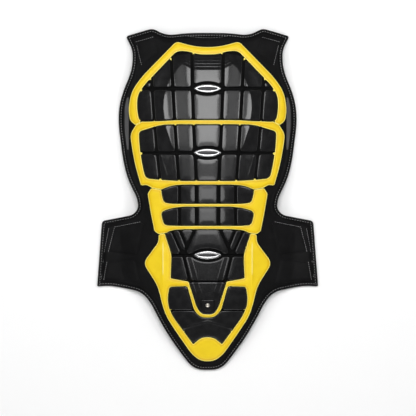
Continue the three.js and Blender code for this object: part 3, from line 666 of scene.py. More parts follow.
def panel():
    box = ((-HALF_WIDTH, HALF_WIDTH), (-HALF_LENGTH, HALF_LENGTH))
    form = raised(panel_plan, box, panel_height, lift=PANEL_BASE, rim=1.0, step=PANEL_STEP)
    return piece("padded_panel", [form], [FABRIC])


padded_panel = panel()

# %% [markdown]
# ## The sewn-in pads
#
# Soft pads are sewn on to the wings and the shoulders. Their cloth is held all round by
# the seam and swells between, and that is what a cloth simulation does well: the edge is
# pinned, a little air pressure lifts the rest, and after twenty frames the shape is kept.
# The same swell could be sculpted, but the cloth finds the right fall to each corner.

# %% The pads
PAD_SWELL = 2.4
PAD_FRAMES = 20
PAD_PRESSURE = 4.0
HELD_MARGIN = 1.5


def pad(rows, side):
    loop = curved(rows) * (side, 1)

    def height(x, y, d):
        return panel_height(x, y, panel_plan(x, y)) + 0.4 + 0.7 * ramp(-d, 0, 4)

    def plan(x, y):
        return distance_to(loop, x, y)

    return raised(plan, box_of(loop), height, lift=PANEL_BASE, rim=0.7, foot=3.0, step=2.0)


def corners_of(mesh):
    flat = np.empty(len(mesh.vertices) * 3, np.float32)
    mesh.vertices.foreach_get("co", flat)
    return flat.reshape(-1, 3)


def blown_up(obj):
    """Pins what lies near a seam, lets pressure lift the rest, and scales the lift so
    that the highest point moves by PAD_SWELL."""
    mesh = obj.data
    before = corners_of(mesh)
    inset = np.empty(len(mesh.vertices), np.float32)
    mesh.attributes["inset"].data.foreach_get("value", inset)
    held = np.flatnonzero(inset < HELD_MARGIN)
    obj.vertex_groups.new(name="held").add(held.tolist(), 1.0, "REPLACE")
    cloth = obj.modifiers.new("air", "CLOTH")
    cloth.settings.vertex_group_mass = "held"
    cloth.settings.use_pressure = True
    cloth.settings.uniform_pressure_force = PAD_PRESSURE
    cloth.settings.effector_weights.gravity = 0
    cloth.settings.quality = 4
    for number in range(1, PAD_FRAMES + 1):
        bpy.context.scene.frame_set(number)
    graph = bpy.context.evaluated_depsgraph_get()
    moved = corners_of(obj.evaluated_get(graph).data) - before
    obj.modifiers.remove(cloth)
    bpy.context.scene.frame_set(1)
    far = np.linalg.norm(moved, axis=1).max()
    moved *= min(1.0, PAD_SWELL * MM / max(far, 1e-9))
    mesh.vertices.foreach_set("co", (before + moved).ravel())
    mesh.update()
    print("the cloth moved by up to", round(float(far) / MM, 2), "mm")


def sewn_pads():
    forms = [pad(rows, side) for rows in PADS for side in (1, -1)]
    obj = piece("sewn_pads", forms, [FABRIC] * len(forms))
    blown_up(obj)
    return obj


pads = sewn_pads()

# %% [markdown]
# ## The edge tape and its stitches
#
# The tape is a strip folded over the rim: a section carried along a path. The section is
# a C with round outer corners, and the path is the panel's outline. Along the tape runs a
# row of stitches. Each is a tiny capsule, and one array operation places them all.

# %% The edge tape
def way_along(points):
    """How far along a line of points each of them lies."""
    return np.concatenate([[0], np.cumsum(np.linalg.norm(np.diff(points, axis=0), axis=1))])


def points_at(at, points):
    """The places at the given ways along a line of points."""
    way = way_along(points)
    return np.stack([np.interp(at, way, points[:, k]) for k in (0, 1)], 1)


def evenly(loop, spacing):
    """Points at equal spacing along a closed loop."""
    closed = np.vstack([loop, loop[:1]])
    length = way_along(closed)[-1]
    count = int(round(length / spacing))
    return points_at(np.arange(count) * length / count, closed)


def outward(loop):
    """Unit normals of a closed loop that runs clockwise, pointing out of it."""
    along = np.roll(loop, -1, 0) - np.roll(loop, 1, 0)
    along /= np.linalg.norm(along, axis=1)[:, None]
    return np.stack([-along[:, 1], along[:, 0]], 1)


def grid_faces(rows, columns):
    """The quads of a grid of points that closes on itself both ways, as on a torus."""
    i, k = np.meshgrid(np.arange(rows), np.arange(columns), indexing="ij")
    j, m = (i + 1) % rows, (k + 1) % columns
    quads = [i * columns + k, i * columns + m, j * columns + m, j * columns + k]
    return np.stack(quads, -1).reshape(-1, 4)


def swept(loop, section):
    """The section, rows of (in, up), carried round the loop: point (i, k) of the grid is
    loop[i] moved inwards and up by section[k]. The rows close on themselves."""
    normals = outward(loop)
    inward, up = section[:, 0], section[:, 1]
    x = loop[:, :1] - normals[:, :1] * inward
    y = loop[:, 1:] - normals[:, 1:] * inward
    z = np.broadcast_to(up, x.shape) + arch(x, y)
    corners = np.stack([x, y, z], -1).reshape(-1, 3)
    return corners, grid_faces(*x.shape), np.broadcast_to(inward, x.shape).ravel()


def tape_section():
    """A C: round the outside over the top, then back along the inside. Each outer corner
    is a quarter circle."""
    radius = 2.0
    top = BINDING_HEIGHT
    turn = np.linspace(0, np.pi / 2, 5)
    low = np.stack([radius - radius * np.sin(turn), radius - radius * np.cos(turn)], 1)
    high = np.stack([radius - radius * np.cos(turn), top - radius + radius * np.sin(turn)], 1)
    lip = [(BINDING_WIDTH - 0.5, top - 0.05), (BINDING_WIDTH, top - 0.5)]
    inside = [
        (BINDING_WIDTH, top - BINDING_WALL),
        (BINDING_WALL, top - BINDING_WALL),
        (BINDING_WALL, BINDING_WALL),
        (BINDING_WIDTH, BINDING_WALL),
        (BINDING_WIDTH, 0.0),
    ]
    return np.vstack([low, high, lip, inside])


STITCH_LENGTH = 2.9
STITCH_PITCH = 4.6
STITCH_RADIUS = 0.38


def stitches(path, height):
    """A capsule at each point of the path: rings of six corners whose radius follows a
    half ellipse along the stitch. height is a number or one for each point."""
    along = np.gradient(path, axis=0)
    along /= np.linalg.norm(along, axis=1)[:, None]
    height = np.broadcast_to(height, len(path))[:, None, None]
    across = np.stack([-along[:, 1], along[:, 0]], 1)
    s = np.array([-1, -0.8, 0, 0.8, 1])
    radius = STITCH_RADIUS * np.array([0.25, 0.8, 1, 0.8, 0.25])
    turn = np.arange(6) * np.pi / 3
    reach = (s * STITCH_LENGTH / 2)[None, :, None]
    side = (radius[:, None] * np.cos(turn))[None]
    rise = (radius[:, None] * np.sin(turn))[None]
    x, y = (
        path[:, k, None, None] + along[:, k, None, None] * reach + across[:, k, None, None] * side
        for k in (0, 1)
    )
    z = rise + height + arch(x, y)
    corners = np.stack([x, y, z], -1).reshape(-1, 3)
    k, m = np.meshgrid(np.arange(4), np.arange(6), indexing="ij")
    n = (m + 1) % 6
    quads = np.stack([k * 6 + m, (k + 1) * 6 + m, (k + 1) * 6 + n, k * 6 + n], -1).reshape(-1, 4)
    caps = np.array([[0, 1, 2, 3], [0, 3, 4, 5], [27, 26, 25, 24], [29, 28, 27, 24]])
    one = np.vstack([quads, caps])
    faces = (one[None] + 30 * np.arange(len(path))[:, None, None]).reshape(-1, 4)
    return corners, faces, np.ones(len(corners))


COLLAR_HALF, COLLAR_LOW, COLLAR_RISE = 39.0, 283.9, 3.9


def collar_line(x):
    """The parabola of the collar's lower edge."""
    return COLLAR_LOW + COLLAR_RISE * (x / COLLAR_HALF) ** 2


def collar():
    """At the neck the tape widens into a lens that lies over the panel's shoulder."""

    def plan(x, y):
        return cut(distance_to(EDGE, x, y) + 4.0, collar_line(x) - y, soft=0.6)

    def height(x, y, d):
        return panel_height(x, y, panel_plan(x, y)) + 0.9

    box = ((-70, 70), (COLLAR_LOW - 2, HALF_LENGTH))
    return raised(plan, box, height, lift=PANEL_BASE, rim=0.5, foot=3.0, step=1.0)


def tape():
    path = evenly(EDGE, 3.0)
    # The pale stitches inside the tape and along the collar are partly real stitching, partly a
    # painted highlight along the tape's inner edge.
    seam = evenly(path - outward(path) * 4.2, STITCH_PITCH)
    x = np.arange(-COLLAR_HALF, COLLAR_HALF + 1, STITCH_PITCH)
    y = collar_line(x) + 1.4
    lift = PANEL_BASE + 1.0 + panel_height(x, y, panel_plan(x, y))
    forms = [swept(path, tape_section()), collar()]
    forms += [stitches(seam, BINDING_HEIGHT + 0.05), stitches(np.stack([x, y], 1), lift)]
    return piece("edge_tape", forms, [TAPE, TAPE, THREAD_AND_HIGHLIGHT, THREAD_AND_HIGHLIGHT])


edge_tape = tape()

# %% [markdown]
# Thin pale lines on the wings and shoulders are painted highlights along the pads' edges.
# They are drawn as stitches, laid at the panel's own height.

# %% The pale seams on the panel, painted highlights
HIGHLIGHT_SEAMS = [
    [(0.645, 0.928), (0.492, 0.955)],
    [(0.64, 0.902), (0.5985, 0.793)],
    [(0.896, -0.172), (0.941, -0.326), (0.962, -0.47)],
    [(0.846, -0.17), (0.9, -0.308)],
    [(0.838, -0.16), (0.6, -0.129)],
    [(0.913, -0.37), (0.941, -0.474)],
]


def seam(rows, side):
    """Points at the stitches' pitch along the straight lines between the rows."""
    corners = np.array([place(side * out, up) for out, up in rows])
    path = points_at(np.arange(0, way_along(corners)[-1], STITCH_PITCH * 0.8), corners)
    x, y = path.T
    return stitches(path, PANEL_BASE + 0.2 + panel_height(x, y, panel_plan(x, y)))


# Painted highlight: these pale stitch rows stand for the bright edge highlights along the pads.
highlight_seam_forms = [seam(rows, side) for rows in HIGHLIGHT_SEAMS for side in (1, -1)]
highlight_seams = piece("panel_highlight_seams", highlight_seam_forms, [THREAD_AND_HIGHLIGHT] * len(highlight_seam_forms))

# %% [markdown]
# ## The side bands
#
# Two flat stretch bands run down the flanks. They are strips with a soft edge, lying on
# the panel just outside the frames.

# %% The side bands
BAND_OUT, BAND_HIGH, BAND_LOW = 0.733, 0.68, 0.19
BAND_WIDTH = 7.6
BAND_THICKNESS = 1.4


def side_band(name, side):
    middle = side * BAND_OUT * HALF_WIDTH
    low, high = BAND_LOW * HALF_LENGTH, BAND_HIGH * HALF_LENGTH

    def plan(x, y):
        strip = np.abs(x - middle) - BAND_WIDTH / 2
        inside_rim = distance_to(EDGE, x, y) + RIM_WIDTH + 3
        return cut(strip, y - high, low - y, inside_rim, soft=1.0)

    def height(x, y, d):
        return BAND_THICKNESS + 0.12 * np.sin(y * 2 * np.pi / 2.4)

    box = ((middle - BAND_WIDTH, middle + BAND_WIDTH), (low - 2, high + 2))
    return piece(name, [raised(plan, box, height, rim=0.5, step=0.6)], [BAND])


side_bands = {
    "right": side_band("stretch_band_right", 1),
    "left": side_band("stretch_band_left", -1),
}

# %% [markdown]
# ## The yellow frames
#
# One moulding outline is cut by six windows and parted at three joints. Where the long
# grooves between the plates meet a frame, a small tooth of the frame reaches into the
# groove: a little circle joined to the distance.

# %% The frames
JOINTS = {
    "upper_middle": [(0, 0.4685), (0.58, 0.463), (0.655, 0.436), (0.75, 0.41), (1, 0.41)],
    "middle_lumbar": [
        (0, 0.0855), (0.34, 0.0775), (0.42, 0.058), (0.506, 0.068), (0.58, 0.056), (1, 0.056),
    ],
    "lumbar_tail": [(0, -0.19), (0.34, -0.193), (0.45, -0.2035), (0.56, -0.21), (1, -0.21)],
}
JOINT_GAP = 0.5
TEETH = [
    (0.3305, 0.825), (0.5206, 0.708), (0.603, 0.643), (0.602, 0.27), (0.128, 0.861),
    (0.327, -0.646), (0.2065, -0.77), (0.126, 0.4655), (0.298, 0.4625), (0.482, 0.457),
    (0.125, 0.4445), (0.29, 0.4415), (0.475, 0.4335), (0.102, 0.1065), (0.259, 0.1085),
    (0.427, 0.116),
]
TOOTH_RADIUS = 2.4
FRAME_RIM = 1.1
FRAME_STEP = 0.8
FRAME_SIDE = 0.74
FRAME_END = 0.96


def above_joint(name, x, y):
    out, up = np.array(JOINTS[name]).T
    return y - np.interp(np.abs(x), out * HALF_WIDTH, up * HALF_LENGTH)


def frame_plan(x, y):
    whole = distance_to(FRAME_EDGE, x, y)
    for loop in WINDOW_LOOPS.values():
        whole = cut(whole, -distance_to(loop, x, y))
    teeth = [np.hypot(np.abs(x) - place(*t)[0], y - place(*t)[1]) - TOOTH_RADIUS for t in TEETH]
    return joined(whole, *teeth)


def frame_height(x, y, d):
    """A low crown across the moulding, and a ridge down each hip lobe."""
    out, up = np.abs(x) / HALF_WIDTH, y / HALF_LENGTH
    on_lobe = ramp(up, -0.53, -0.46) * ramp(-up, 0.27, 0.31)
    from_ridge = np.abs(out - HIP_RIDGE[0]) * HALF_WIDTH
    ridge = 2.2 * on_lobe * np.exp(-from_ridge / 4) - 1.6 * on_lobe * ramp(out, 0.41, 0.57)
    return FRAME_THICKNESS + 0.9 * ramp(-d, 0.0, 7.0) + ridge


def yellow_frame(name, above=None, below=None):
    def plan(x, y):
        whole = frame_plan(x, y)
        if above:
            whole = cut(whole, JOINT_GAP / 2 - above_joint(above, x, y))
        if below:
            whole = cut(whole, JOINT_GAP / 2 + above_joint(below, x, y))
        return whole

    low = JOINTS[above][-1][1] - 0.02 if above else -FRAME_END
    high = JOINTS[below][0][1] + 0.02 if below else FRAME_END
    side = FRAME_SIDE * HALF_WIDTH
    box = ((-side, side), (low * HALF_LENGTH, high * HALF_LENGTH))
    form = raised(plan, box, frame_height, rim=FRAME_RIM, step=FRAME_STEP)
    return piece(name, [form], [YELLOW])


FRAMES = {
    "frame_upper": yellow_frame("yellow_frame_upper", above="upper_middle"),
    "frame_middle": yellow_frame("yellow_frame_middle", above="middle_lumbar", below="upper_middle"),
    "frame_lumbar": yellow_frame("yellow_frame_lumbar", above="lumbar_tail", below="middle_lumbar"),
    "frame_tail": yellow_frame("yellow_frame_tail", below="lumbar_tail"),
}

# %% [markdown]
# ## The badges
#
# The badges are oval chrome rings that lie in a dark hollow over the joints of the
# plates. Their ends are slightly pointed, which is an ellipse with a lower exponent. They
# come before the plates, because the plates leave room for them.

# %% Badges
JOINT_UPS = {"upper": 0.652, "middle": 0.275, "lumbar": -0.325, "tongue": -0.482, "tail": -0.65}
BADGE_LENGTH, BADGE_WIDTH, BADGE_HEIGHT = 48.4, 15.2, 9.6
BADGE_ROLL = 2.4
BADGE_EXPONENT, SLOT_EXPONENT = 1.75, 1.9
SLOT_LENGTH, SLOT_WIDTH = 32.0, 4.0
BADGE_MOAT = 4.4


def to_ellipse(x, y, a, b):
    """About the distance to an ellipse: how far its equation is from 1, by its slope."""
    rim = np.sqrt((x / a) ** 2 + (y / b) ** 2)
    slope = np.hypot(x / a**2, y / b**2)
    return (rim - 1) * np.maximum(rim, 0.2) / np.maximum(slope, 1e-6)


def badge_plan(x, y, up, beyond=0.0):
    """The distance to the badge's oval, grown by beyond, and by less at its ends."""
    a, b = BADGE_LENGTH / 2 + beyond * 0.7, BADGE_WIDTH / 2 + beyond
    return to_ellipse(x, y - up * HALF_LENGTH, a, b)


def oval(length, width, exponent, turn):
    """Points where |x / a| and |y / b|, both raised to the exponent, add up to 1."""
    bent = [np.sign(v) * np.abs(v) ** (2 / exponent) for v in (np.cos(turn), np.sin(turn))]
    return np.stack([length / 2 * bent[0], width / 2 * bent[1]], -1)


def badge_ring(number, up):
    """A section carried between two ovals: share 0 lies on the outer one, 1 on the slot."""
    turn = np.linspace(0, 2 * np.pi, 97)[:-1]
    outer = oval(BADGE_LENGTH, BADGE_WIDTH, BADGE_EXPONENT, turn)
    slot = oval(SLOT_LENGTH, SLOT_WIDTH, SLOT_EXPONENT, turn)
    arc = np.linspace(0, np.pi, 13)
    share = np.concatenate([[0], (1 - np.cos(arc)) / 2, [1]])
    roll = BADGE_HEIGHT - BADGE_ROLL + BADGE_ROLL * np.sin(arc) ** 0.8
    rise = np.concatenate([[0], roll, [0]])
    x = outer[:, :1] * (1 - share) + slot[:, :1] * share
    y = outer[:, 1:] * (1 - share) + slot[:, 1:] * share + up * HALF_LENGTH
    z = SEAT + rise + arch(x, y)
    faces = grid_faces(*x.shape)[:, [0, 3, 2, 1]]
    form = np.stack([x, y, z], -1).reshape(-1, 3), faces, np.ones(x.size)
    return piece(f"chrome_ring_{number}", [form], [CHROME])


def badge_insert(number, up):
    """A low dark pillow in the slot, a fit gap smaller all round."""
    middle = up * HALF_LENGTH

    def plan(x, y):
        return to_ellipse(x, y - middle, SLOT_LENGTH / 2 - FIT_GAP, SLOT_WIDTH / 2 - FIT_GAP)

    def height(x, y, d):
        return BADGE_HEIGHT - 2.2 + 0.4 * ramp(-d, 0, 2.4)

    ends = (-SLOT_LENGTH / 2, SLOT_LENGTH / 2)
    box = (ends, (middle - SLOT_WIDTH / 2, middle + SLOT_WIDTH / 2))
    form = raised(plan, box, height, rim=0.4, step=0.4)
    return piece(f"dark_insert_{number}", [form], [INSERT])


BADGE_UPS = [JOINT_UPS["upper"], JOINT_UPS["middle"], JOINT_UPS["lumbar"]]
badges = [(badge_ring(n, up), badge_insert(n, up)) for n, up in enumerate(BADGE_UPS, 1)]

# %% [markdown]
# ## The plates
#
# A plate is a thin base with raised tiles on it. A tile is what is left of the window
# between its grooves and the ends of its row, so its distance is the largest of a few
# simple ones. Each tile has a soft crown, and a curved crease runs down both sides of
# the back: outside it the tiles fall away, which is what makes the bright middle of the
# real plates look like a vase.

# %% Grooves and creases
LONG_GROOVES = np.array(
    [  # up, inner, centre, outer
        (-0.2, 0.098, 0.252, 0.7),
        (0.09, 0.101, 0.252, 0.7),
        (0.11, 0.102, 0.261, 0.428),
        (0.275, 0.114, 0.279, 0.456),
        (0.467, 0.127, 0.299, 0.483),
        (0.652, 0.136, 0.314, 0.502),
        (0.9, 0.143, 0.332, 0.518),
    ]
)
VASE = np.array(
    [  # up, out
        (0.1, 0.27),
        (0.27, 0.275),
        (0.2896, 0.299),
        (0.3249, 0.326),
        (0.372, 0.35),
        (0.4191, 0.376),
        (0.4897, 0.394),
        (0.5368, 0.403),
        (0.5839, 0.398),
        (0.6192, 0.389),
        (0.7016, 0.344),
        (0.77, 0.275),
        (0.8175, 0.204),
        (0.87, 0.15),
    ]
)
FOLD = np.array([(0.1, 0.35), (0.251, 0.421), (0.272, 0.43)])  # up, out
CREASE_DROP = 4.6
CREASE_REACH = 17.0
ROW_4 = (0.09, 0.275)
ROW_4_BEND = 0.22
ROW_4_LEAN = 0.95
RIB_HEIGHT = 0.22
RIB_PITCH = 5.3
TILE_RIM = 1.3
TILE_CROWN = 0.25


def line_out(y, table, column=1):
    """How far out the line of a table runs at y, straight from row to row."""
    return np.interp(y / HALF_LENGTH, table[:, 0], table[:, column]) * HALF_WIDTH


def past_crease(x, y):
    """How far outside the vase's line a point lies, in mm, with a soft start."""
    gap = np.abs(x) - line_out(y, VASE)
    return (gap + np.sqrt(gap * gap + 0.6)) / 2


def fourth_row(x, y):
    """The row below the middle badge leans a little to the neck in its lower part, where
    it would catch the light otherwise, and a faint fold runs slantwise down its sides."""
    up = y / HALF_LENGTH
    fold = 0.16 * np.exp(-((np.abs(x) - line_out(y, FOLD)) ** 2) / 0.9)
    share = np.maximum(ROW_4_BEND - up, 0) / (ROW_4_BEND - ROW_4[0])
    lean = ROW_4_LEAN * share**2
    return np.where((up > ROW_4[0]) & (up < ROW_4[1]), fold + lean, 0.0)


def ribs(x, y):
    """Fine ribs across the top of the first row, where it also turns down to the neck."""
    up = y / HALF_LENGTH
    start = 0.762 + 0.05 * ramp(np.abs(x) / HALF_WIDTH, 0.1, 0.3)
    past = np.maximum(up - start, 0) * HALF_LENGTH
    waves = RIB_HEIGHT * np.sin(past * 2 * np.pi / RIB_PITCH) * ramp(past, 1, 4)
    return waves - 0.18 * past


def tile_height(x, y, d):
    """A soft crown, less the fall outside the crease, which levels off with distance."""
    fall = CREASE_DROP * (1 - np.exp(-past_crease(x, y) / CREASE_REACH))
    sides = np.where(y / HALF_LENGTH > 0.1, fall, 0.0)
    crown = TILE_CROWN * ramp(-d, 0, 9)
    return PLATE_THICKNESS - 0.3 + crown - sides + ribs(x, y) + fourth_row(x, y)


middle_width = 2 * line_out(0.0, LONG_GROOVES) - GROOVE_WIDTH
print("a middle tile is this wide at the middle of the back, mm:", round(float(middle_width), 1))

# %% [markdown]
# One tile is cut from its window: the window's own edge, the row's two ends, the grooves
# beside it and the hollow round the badge are all distances, and the largest of them is
# the tile. A small rounding where they meet gives the soft corners of a moulded piece.

# %% One tile
def tile(window, low, high, limits, height=tile_height, badge=None, gap=ROW_GAP):
    """The tile of a window between two places up the back, within more distances."""
    loop = WINDOW_LOOPS[window]
    y0, y1 = (low * HALF_LENGTH + gap / 2), (high * HALF_LENGTH - gap / 2)

    def plan(x, y):
        parts = [distance_to(loop, x, y) + PLATE_GAP, y - y1, y0 - y]
        parts += [limit(x, y) for limit in limits]
        if badge is not None:
            parts.append(-badge_plan(x, y, badge, BADGE_MOAT))
        return cut(*parts, soft=1.6)

    across, (lowest, highest) = box_of(loop)
    box = (across, (max(y0, lowest), min(y1, highest)))
    return raised(plan, box, height, rim=TILE_RIM, foot=GROOVE_FLOOR - 1)


def outside(column, side):
    """The limit of a tile that lies on the outer side of a long groove."""
    return lambda x, y: line_out(y, LONG_GROOVES, column) + GROOVE_WIDTH / 2 - side * x


def inside(column, side):
    return lambda x, y: side * x - line_out(y, LONG_GROOVES, column) + GROOVE_WIDTH / 2


# %% [markdown]
# Now the rows themselves. Each is a thin plate with a dull surface, the bottom of its
# grooves, and the glossy tiles on it. The long grooves are shared by all rows, so a row
# needs only its window, its two ends and how many tiles lie on each side of the middle.

# %% The rows of plates
def row_base(window, low, high, badge=None):
    """The thin plate under the tiles of a row."""

    def height(x, y, d):
        return np.full(np.shape(x), GROOVE_FLOOR)

    loop = WINDOW_LOOPS[window]
    y0, y1 = low * HALF_LENGTH + 1, high * HALF_LENGTH - 1

    def plan(x, y):
        parts = [distance_to(loop, x, y) + PLATE_GAP, y - y1, y0 - y]
        if badge is not None:
            parts.append(-badge_plan(x, y, badge, 0.6))
        return cut(*parts)

    across, (lowest, highest) = box_of(loop)
    box = (across, (max(y0, lowest), min(y1, highest)))
    return raised(plan, box, height, rim=0.6, step=2.0)


def tiled(name, base, tiles):
    return piece(name, [base, *tiles], [GROOVE] + [PLATE] * len(tiles))


def row(name, window, low, high, columns, badge=None):
    """A base and its tiles: the middle one, and on each side one between each pair of
    grooves and one out to the frame."""
    middle = [inside(1, 1), inside(1, -1)]
    forms = [tile(window, low, high, middle, badge=badge)]
    for side in (1, -1):
        for column in range(1, columns + 1):
            limits = [outside(column, side)]
            if column < columns:
                limits.append(inside(column + 1, side))
            forms.append(tile(window, low, high, limits, badge=badge))
    return tiled(name, row_base(window, low, high, badge), forms)


UPPER, MIDDLE = JOINT_UPS["upper"], JOINT_UPS["middle"]
PLATES = {
    "plate_1": row("black_plate_1", "upper", UPPER, 0.9, 3, UPPER),
    "plate_2": row("black_plate_2", "upper", 0.45, UPPER, 3, UPPER),
    "plate_3": row("black_plate_3", "middle", MIDDLE, 0.46, 3, MIDDLE),
    "plate_4": row("black_plate_4", "middle", 0.09, MIDDLE, 3, MIDDLE),
    "plate_5": row("black_plate_5", "waist_high", -0.04, 0.1, 2),
    "plate_6": row("black_plate_6", "waist_low", -0.17, -0.02, 2),
}

# %% [markdown]
# The lumbar rows have slanted grooves. A slanted groove is a straight line through two
# points, and which side of it a tile lies on is one signed distance. The tongue and the
# tail are plain plates of one tile each.

# %% The lumbar and tail plates
CHANNEL = np.array(
    [  # up, out
        (-0.62, 0.04),
        (-0.593, 0.045),
        (-0.546, 0.054),
        (-0.499, 0.08),
        (-0.452, 0.095),
        (-0.37, 0.131),
        (-0.33, 0.15),
    ]
)
SLANTS = {
    "funnel": ((0.104, -0.165), (0.199, -0.3)),
    "wedge": ((0.2596, -0.165), (0.173, -0.3)),
    "outer": ((0.335, -0.165), (0.222, -0.325)),
    "lower": ((0.222, -0.315), (0.156, -0.49)),
}


def slanted(name, side, keep, width=3.8):
    """Keeps what lies beyond a slanted groove: keep is 1 for outside it, -1 for inside."""
    a, b = (place(*point) for point in SLANTS[name])
    return lambda x, y: keep * side_of(a, b, side * x, y) + width / 2


def funnel_height(x, y, d):
    """A shallow channel that narrows towards the tail, with sloping sides."""
    side = np.maximum(np.abs(x) - line_out(y, CHANNEL), 0)
    return PLATE_THICKNESS - 2.8 + np.minimum(0.3 * side, 2.8)


def wedge_height(x, y, d):
    """The small triangles stand level across, so that they catch the light."""
    return arch(place(0.15, 0)[0], y) - arch(x, y) + PLATE_THICKNESS - 1.0 - 0.05 * np.abs(x)


def plate_7():
    place_of = ("lumbar", JOINT_UPS["lumbar"], -0.15)
    badge = JOINT_UPS["lumbar"]
    base = row_base(*place_of, badge)
    tiles = [tile(*place_of, [slanted("funnel", 1, -1), slanted("funnel", -1, -1)], badge=badge)]
    for side in (1, -1):
        past = slanted("funnel", side, 1)
        wedge = [past, slanted("wedge", side, -1)]
        band = [past, slanted("wedge", side, 1), slanted("outer", side, -1)]
        tiles.append(tile(*place_of, wedge, wedge_height, badge))
        tiles.append(tile(*place_of, band, badge=badge))
        tiles.append(tile(*place_of, [slanted("outer", side, 1)], badge=badge))
    return tiled("black_plate_7", base, tiles)


def plate_8():
    place_of = ("lumbar", JOINT_UPS["tongue"], JOINT_UPS["lumbar"])
    badge = JOINT_UPS["lumbar"]
    middle = [slanted("lower", 1, -1), slanted("lower", -1, -1)]
    tiles = [tile(*place_of, middle, funnel_height, badge)]
    tiles += [tile(*place_of, [slanted("lower", side, 1)], badge=badge) for side in (1, -1)]
    return tiled("black_plate_8", row_base(*place_of, badge), tiles)


def tail_height(x, y, d):
    """A faint arched crease, below which the plate falls away towards the tail."""
    fold = place(0, -0.715)[1] - 0.28 * np.abs(x)
    ridge = 0.35 * np.exp(-((fold - y) ** 2) / 5)
    return PLATE_THICKNESS - 0.8 + 0.3 * ramp(-d, 0, 8) + ridge - 0.12 * np.maximum(fold - y, 0)


PLAIN_GAP = 1.2


def plain_plate(name, window, low, high, height, side=0):
    """A plate of one tile: on the right of the middle for side 1, on the left for -1."""
    limits = [lambda x, y: -side * x] if side else []
    forms = [tile(window, low, high, limits, height, gap=PLAIN_GAP)]
    return piece(name, forms, [PLATE])


PLATES["plate_7"] = plate_7()
PLATES["plate_8"] = plate_8()
TONGUE, TAIL = JOINT_UPS["tongue"], JOINT_UPS["tail"]
PLATES["tongue_plate"] = plain_plate("black_tongue", "lumbar", -0.7, TONGUE, funnel_height)
for side, way in (("right", 1), ("left", -1)):
    tail = plain_plate(f"black_tail_{side}", "tail", TAIL, -0.45, tail_height, way)
    PLATES[f"tail_plate_{side}"] = tail
PLATES["tail_plate_lower"] = plain_plate("black_tail_lower", "tail", -0.9, TAIL, tail_height)

# %% [markdown]
# At the tip of the tongue sits a small plain label with a stud: a thin plate, and on it
# a disc with a fine ring round its top.

# %% The label and its stud
LABEL = [(0.056, -0.59, 0.3), (0.056, -0.628, 1), (0.03, -0.655, 1)]
LABEL_SEAT = SEAT + PLATE_THICKNESS + FIT_GAP
LABEL_THICKNESS = 1.2
STUD_UP, STUD_RADIUS, STUD_HEIGHT = -0.62, 3.5, 2.0


def label():
    loop = mirrored(LABEL)

    def plan(x, y):
        return distance_to(loop, x, y)

    def height(x, y, d):
        return np.full(np.shape(x), LABEL_THICKNESS)

    form = raised(plan, box_of(loop), height, LABEL_SEAT, rim=0.5, step=0.6)
    return piece("plain_label", [form], [PLATE])


def stud():
    middle = STUD_UP * HALF_LENGTH

    def plan(x, y):
        return np.hypot(x, y - middle) - STUD_RADIUS

    def height(x, y, d):
        return STUD_HEIGHT - 0.5 * np.exp(-((d + 1.9) ** 2) / 0.1)

    box = ((-STUD_RADIUS, STUD_RADIUS), (middle - STUD_RADIUS, middle + STUD_RADIUS))
    lift = LABEL_SEAT + LABEL_THICKNESS + FIT_GAP
    return piece("plain_stud", [raised(plan, box, height, lift, rim=0.5, step=0.35)], [STUD])


plain_label = label()
plain_stud = stud()

# %% [markdown]
# ## What stands for what
#
# Every piece rides on the one body and replaces its plain solid. The panel is foam
# under cloth.

# %% Tie the pieces to the frame
def stands_for(obj, node):
    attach(obj, "root")
    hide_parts(node)


stands_for(padded_panel, "back_panel")
for extra in (pads, highlight_seams):
    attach(extra, "root")
stands_for(edge_tape, "edge_binding")
for side, obj in side_bands.items():
    stands_for(obj, f"side_band_{side}")
for node, obj in FRAMES.items():
    stands_for(obj, node)
for node, obj in PLATES.items():
    stands_for(obj, node)
for number, (ring, insert) in enumerate(badges, 1):
    stands_for(ring, f"badge_ring_{number}")
    stands_for(insert, f"badge_insert_{number}")
stands_for(plain_label, "tongue_label")
stands_for(plain_stud, "label_stud")

# %% [markdown]
# ## Floor, lights and camera
#
# The protector lies on a plain pale floor, one large square.

# %% The floor
FLOOR_HALF = 4.0


def floor():
    mesh = bpy.data.meshes.new("floor")
    corners = [(x * FLOOR_HALF, y * FLOOR_HALF, 0) for x, y in ((-1, -1), (1, -1), (1, 1), (-1, 1))]
    mesh.from_pydata(corners, [], [(0, 1, 2, 3)])
    finish = Finish("pale floor", (0.95, 0.95, 0.95), 0.7)
    finish.set("Roughness", 0.65 + 0.1 * finish.noise(3.0))
    mesh.materials.append(finish.material)
    obj = bpy.data.objects.new("floor", mesh)
    bpy.context.collection.objects.link(obj)


floor()
print("the floor's side, m:", 2 * FLOOR_HALF)

# %% [markdown]
# Black gloss shows only what it reflects, so the lights are placed by the slopes they
# should light up. Two soft boxes hang overhead for the level middle of the plates, and
# the gap between them, with a weak box in it, gives the dull fourth row. A weaker box on
# each side lights the slopes of about 11 degrees, and a strip beyond it the slopes of
# about 18 degrees, inside the vase. A low light beyond the tail touches only the edges of
# the gloss, and brightens the yellow and the floor. Lights that are only bright enough
# would do for cloth, but on gloss their places are what counts.

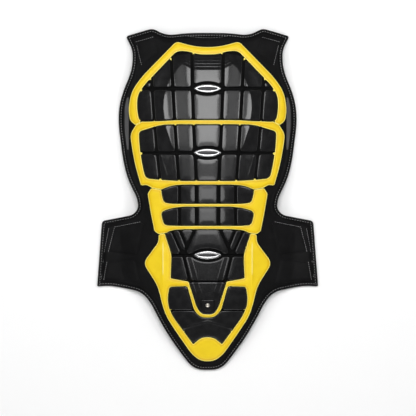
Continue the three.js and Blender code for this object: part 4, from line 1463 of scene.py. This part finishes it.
# %% The lights
LIGHTS = [  # name, place in m, size in m, radiance
    ("box towards the neck", (0, 0.62, 2.0), (0.96, 1.08), 7.2),
    ("box towards the tail", (0, -0.35, 2.0), (0.96, 0.3), 4.0),
    ("weak box between them", (0, -0.06, 2.0), (2.2, 0.26), 0.8),
    ("strip right", (1.6, 0.5, 2.0), (0.5, 0.84), 7.5),
    ("strip left", (-1.6, 0.5, 2.0), (0.5, 0.84), 7.5),
    ("fill right", (0.88, 0.62, 2.0), (0.5, 1.0), 1.4),
    ("fill left", (-0.88, 0.62, 2.0), (0.5, 1.0), 1.4),
    ("low light at the tail", (0, -3.0, 1.6), (2.0, 0.7), 5.0),
]
WORLD_STRENGTH = 0.17


def soft_box(name, place_m, size, radiance):
    """An area light, turned to face the middle where it stands off to one side, and
    straight down overhead. Its power is its radiance times pi times its area."""
    light = bpy.data.lights.new(name, "AREA")
    light.shape = "RECTANGLE"
    light.size, light.size_y = size
    light.energy = radiance * np.pi * size[0] * size[1]
    obj = bpy.data.objects.new(name, light)
    obj.location = place_m
    x, y, z = place_m
    obj.rotation_euler = (np.arctan2(-y, z) if abs(y) > z else 0, np.arctan2(x, z), 0)
    obj.visible_camera = False
    bpy.context.collection.objects.link(obj)


for light in LIGHTS:
    soft_box(*light)
world = bpy.data.worlds.new("studio")
world.use_nodes = True
world.node_tree.nodes["Background"].inputs["Color"].default_value = (1, 1, 1, 1)
world.node_tree.nodes["Background"].inputs["Strength"].default_value = WORLD_STRENGTH
bpy.context.scene.world = world
bpy.context.scene.view_settings.view_transform = "Standard"
print("lights:", len(LIGHTS))

# %% [markdown]
# The camera looks straight down. It stands 20 m away with a long lens, because a near
# camera would make the high middle of the back look larger than the wings.

# %% The camera
SENSOR_WIDTH = 36
CAMERA_HEIGHT = 20.0
SEEN_WIDTH = 0.7345
AIM = (0.0007, -0.0147)


def camera():
    data = bpy.data.cameras.new("camera")
    data.sensor_width = SENSOR_WIDTH
    data.lens = SENSOR_WIDTH * CAMERA_HEIGHT / SEEN_WIDTH
    data.clip_end = CAMERA_HEIGHT + 30
    obj = bpy.data.objects.new("camera", data)
    obj.location = (*AIM, CAMERA_HEIGHT)
    bpy.context.collection.objects.link(obj)
    bpy.context.scene.camera = obj


camera()
print("the picture is this wide on the floor, m:", SEEN_WIDTH)
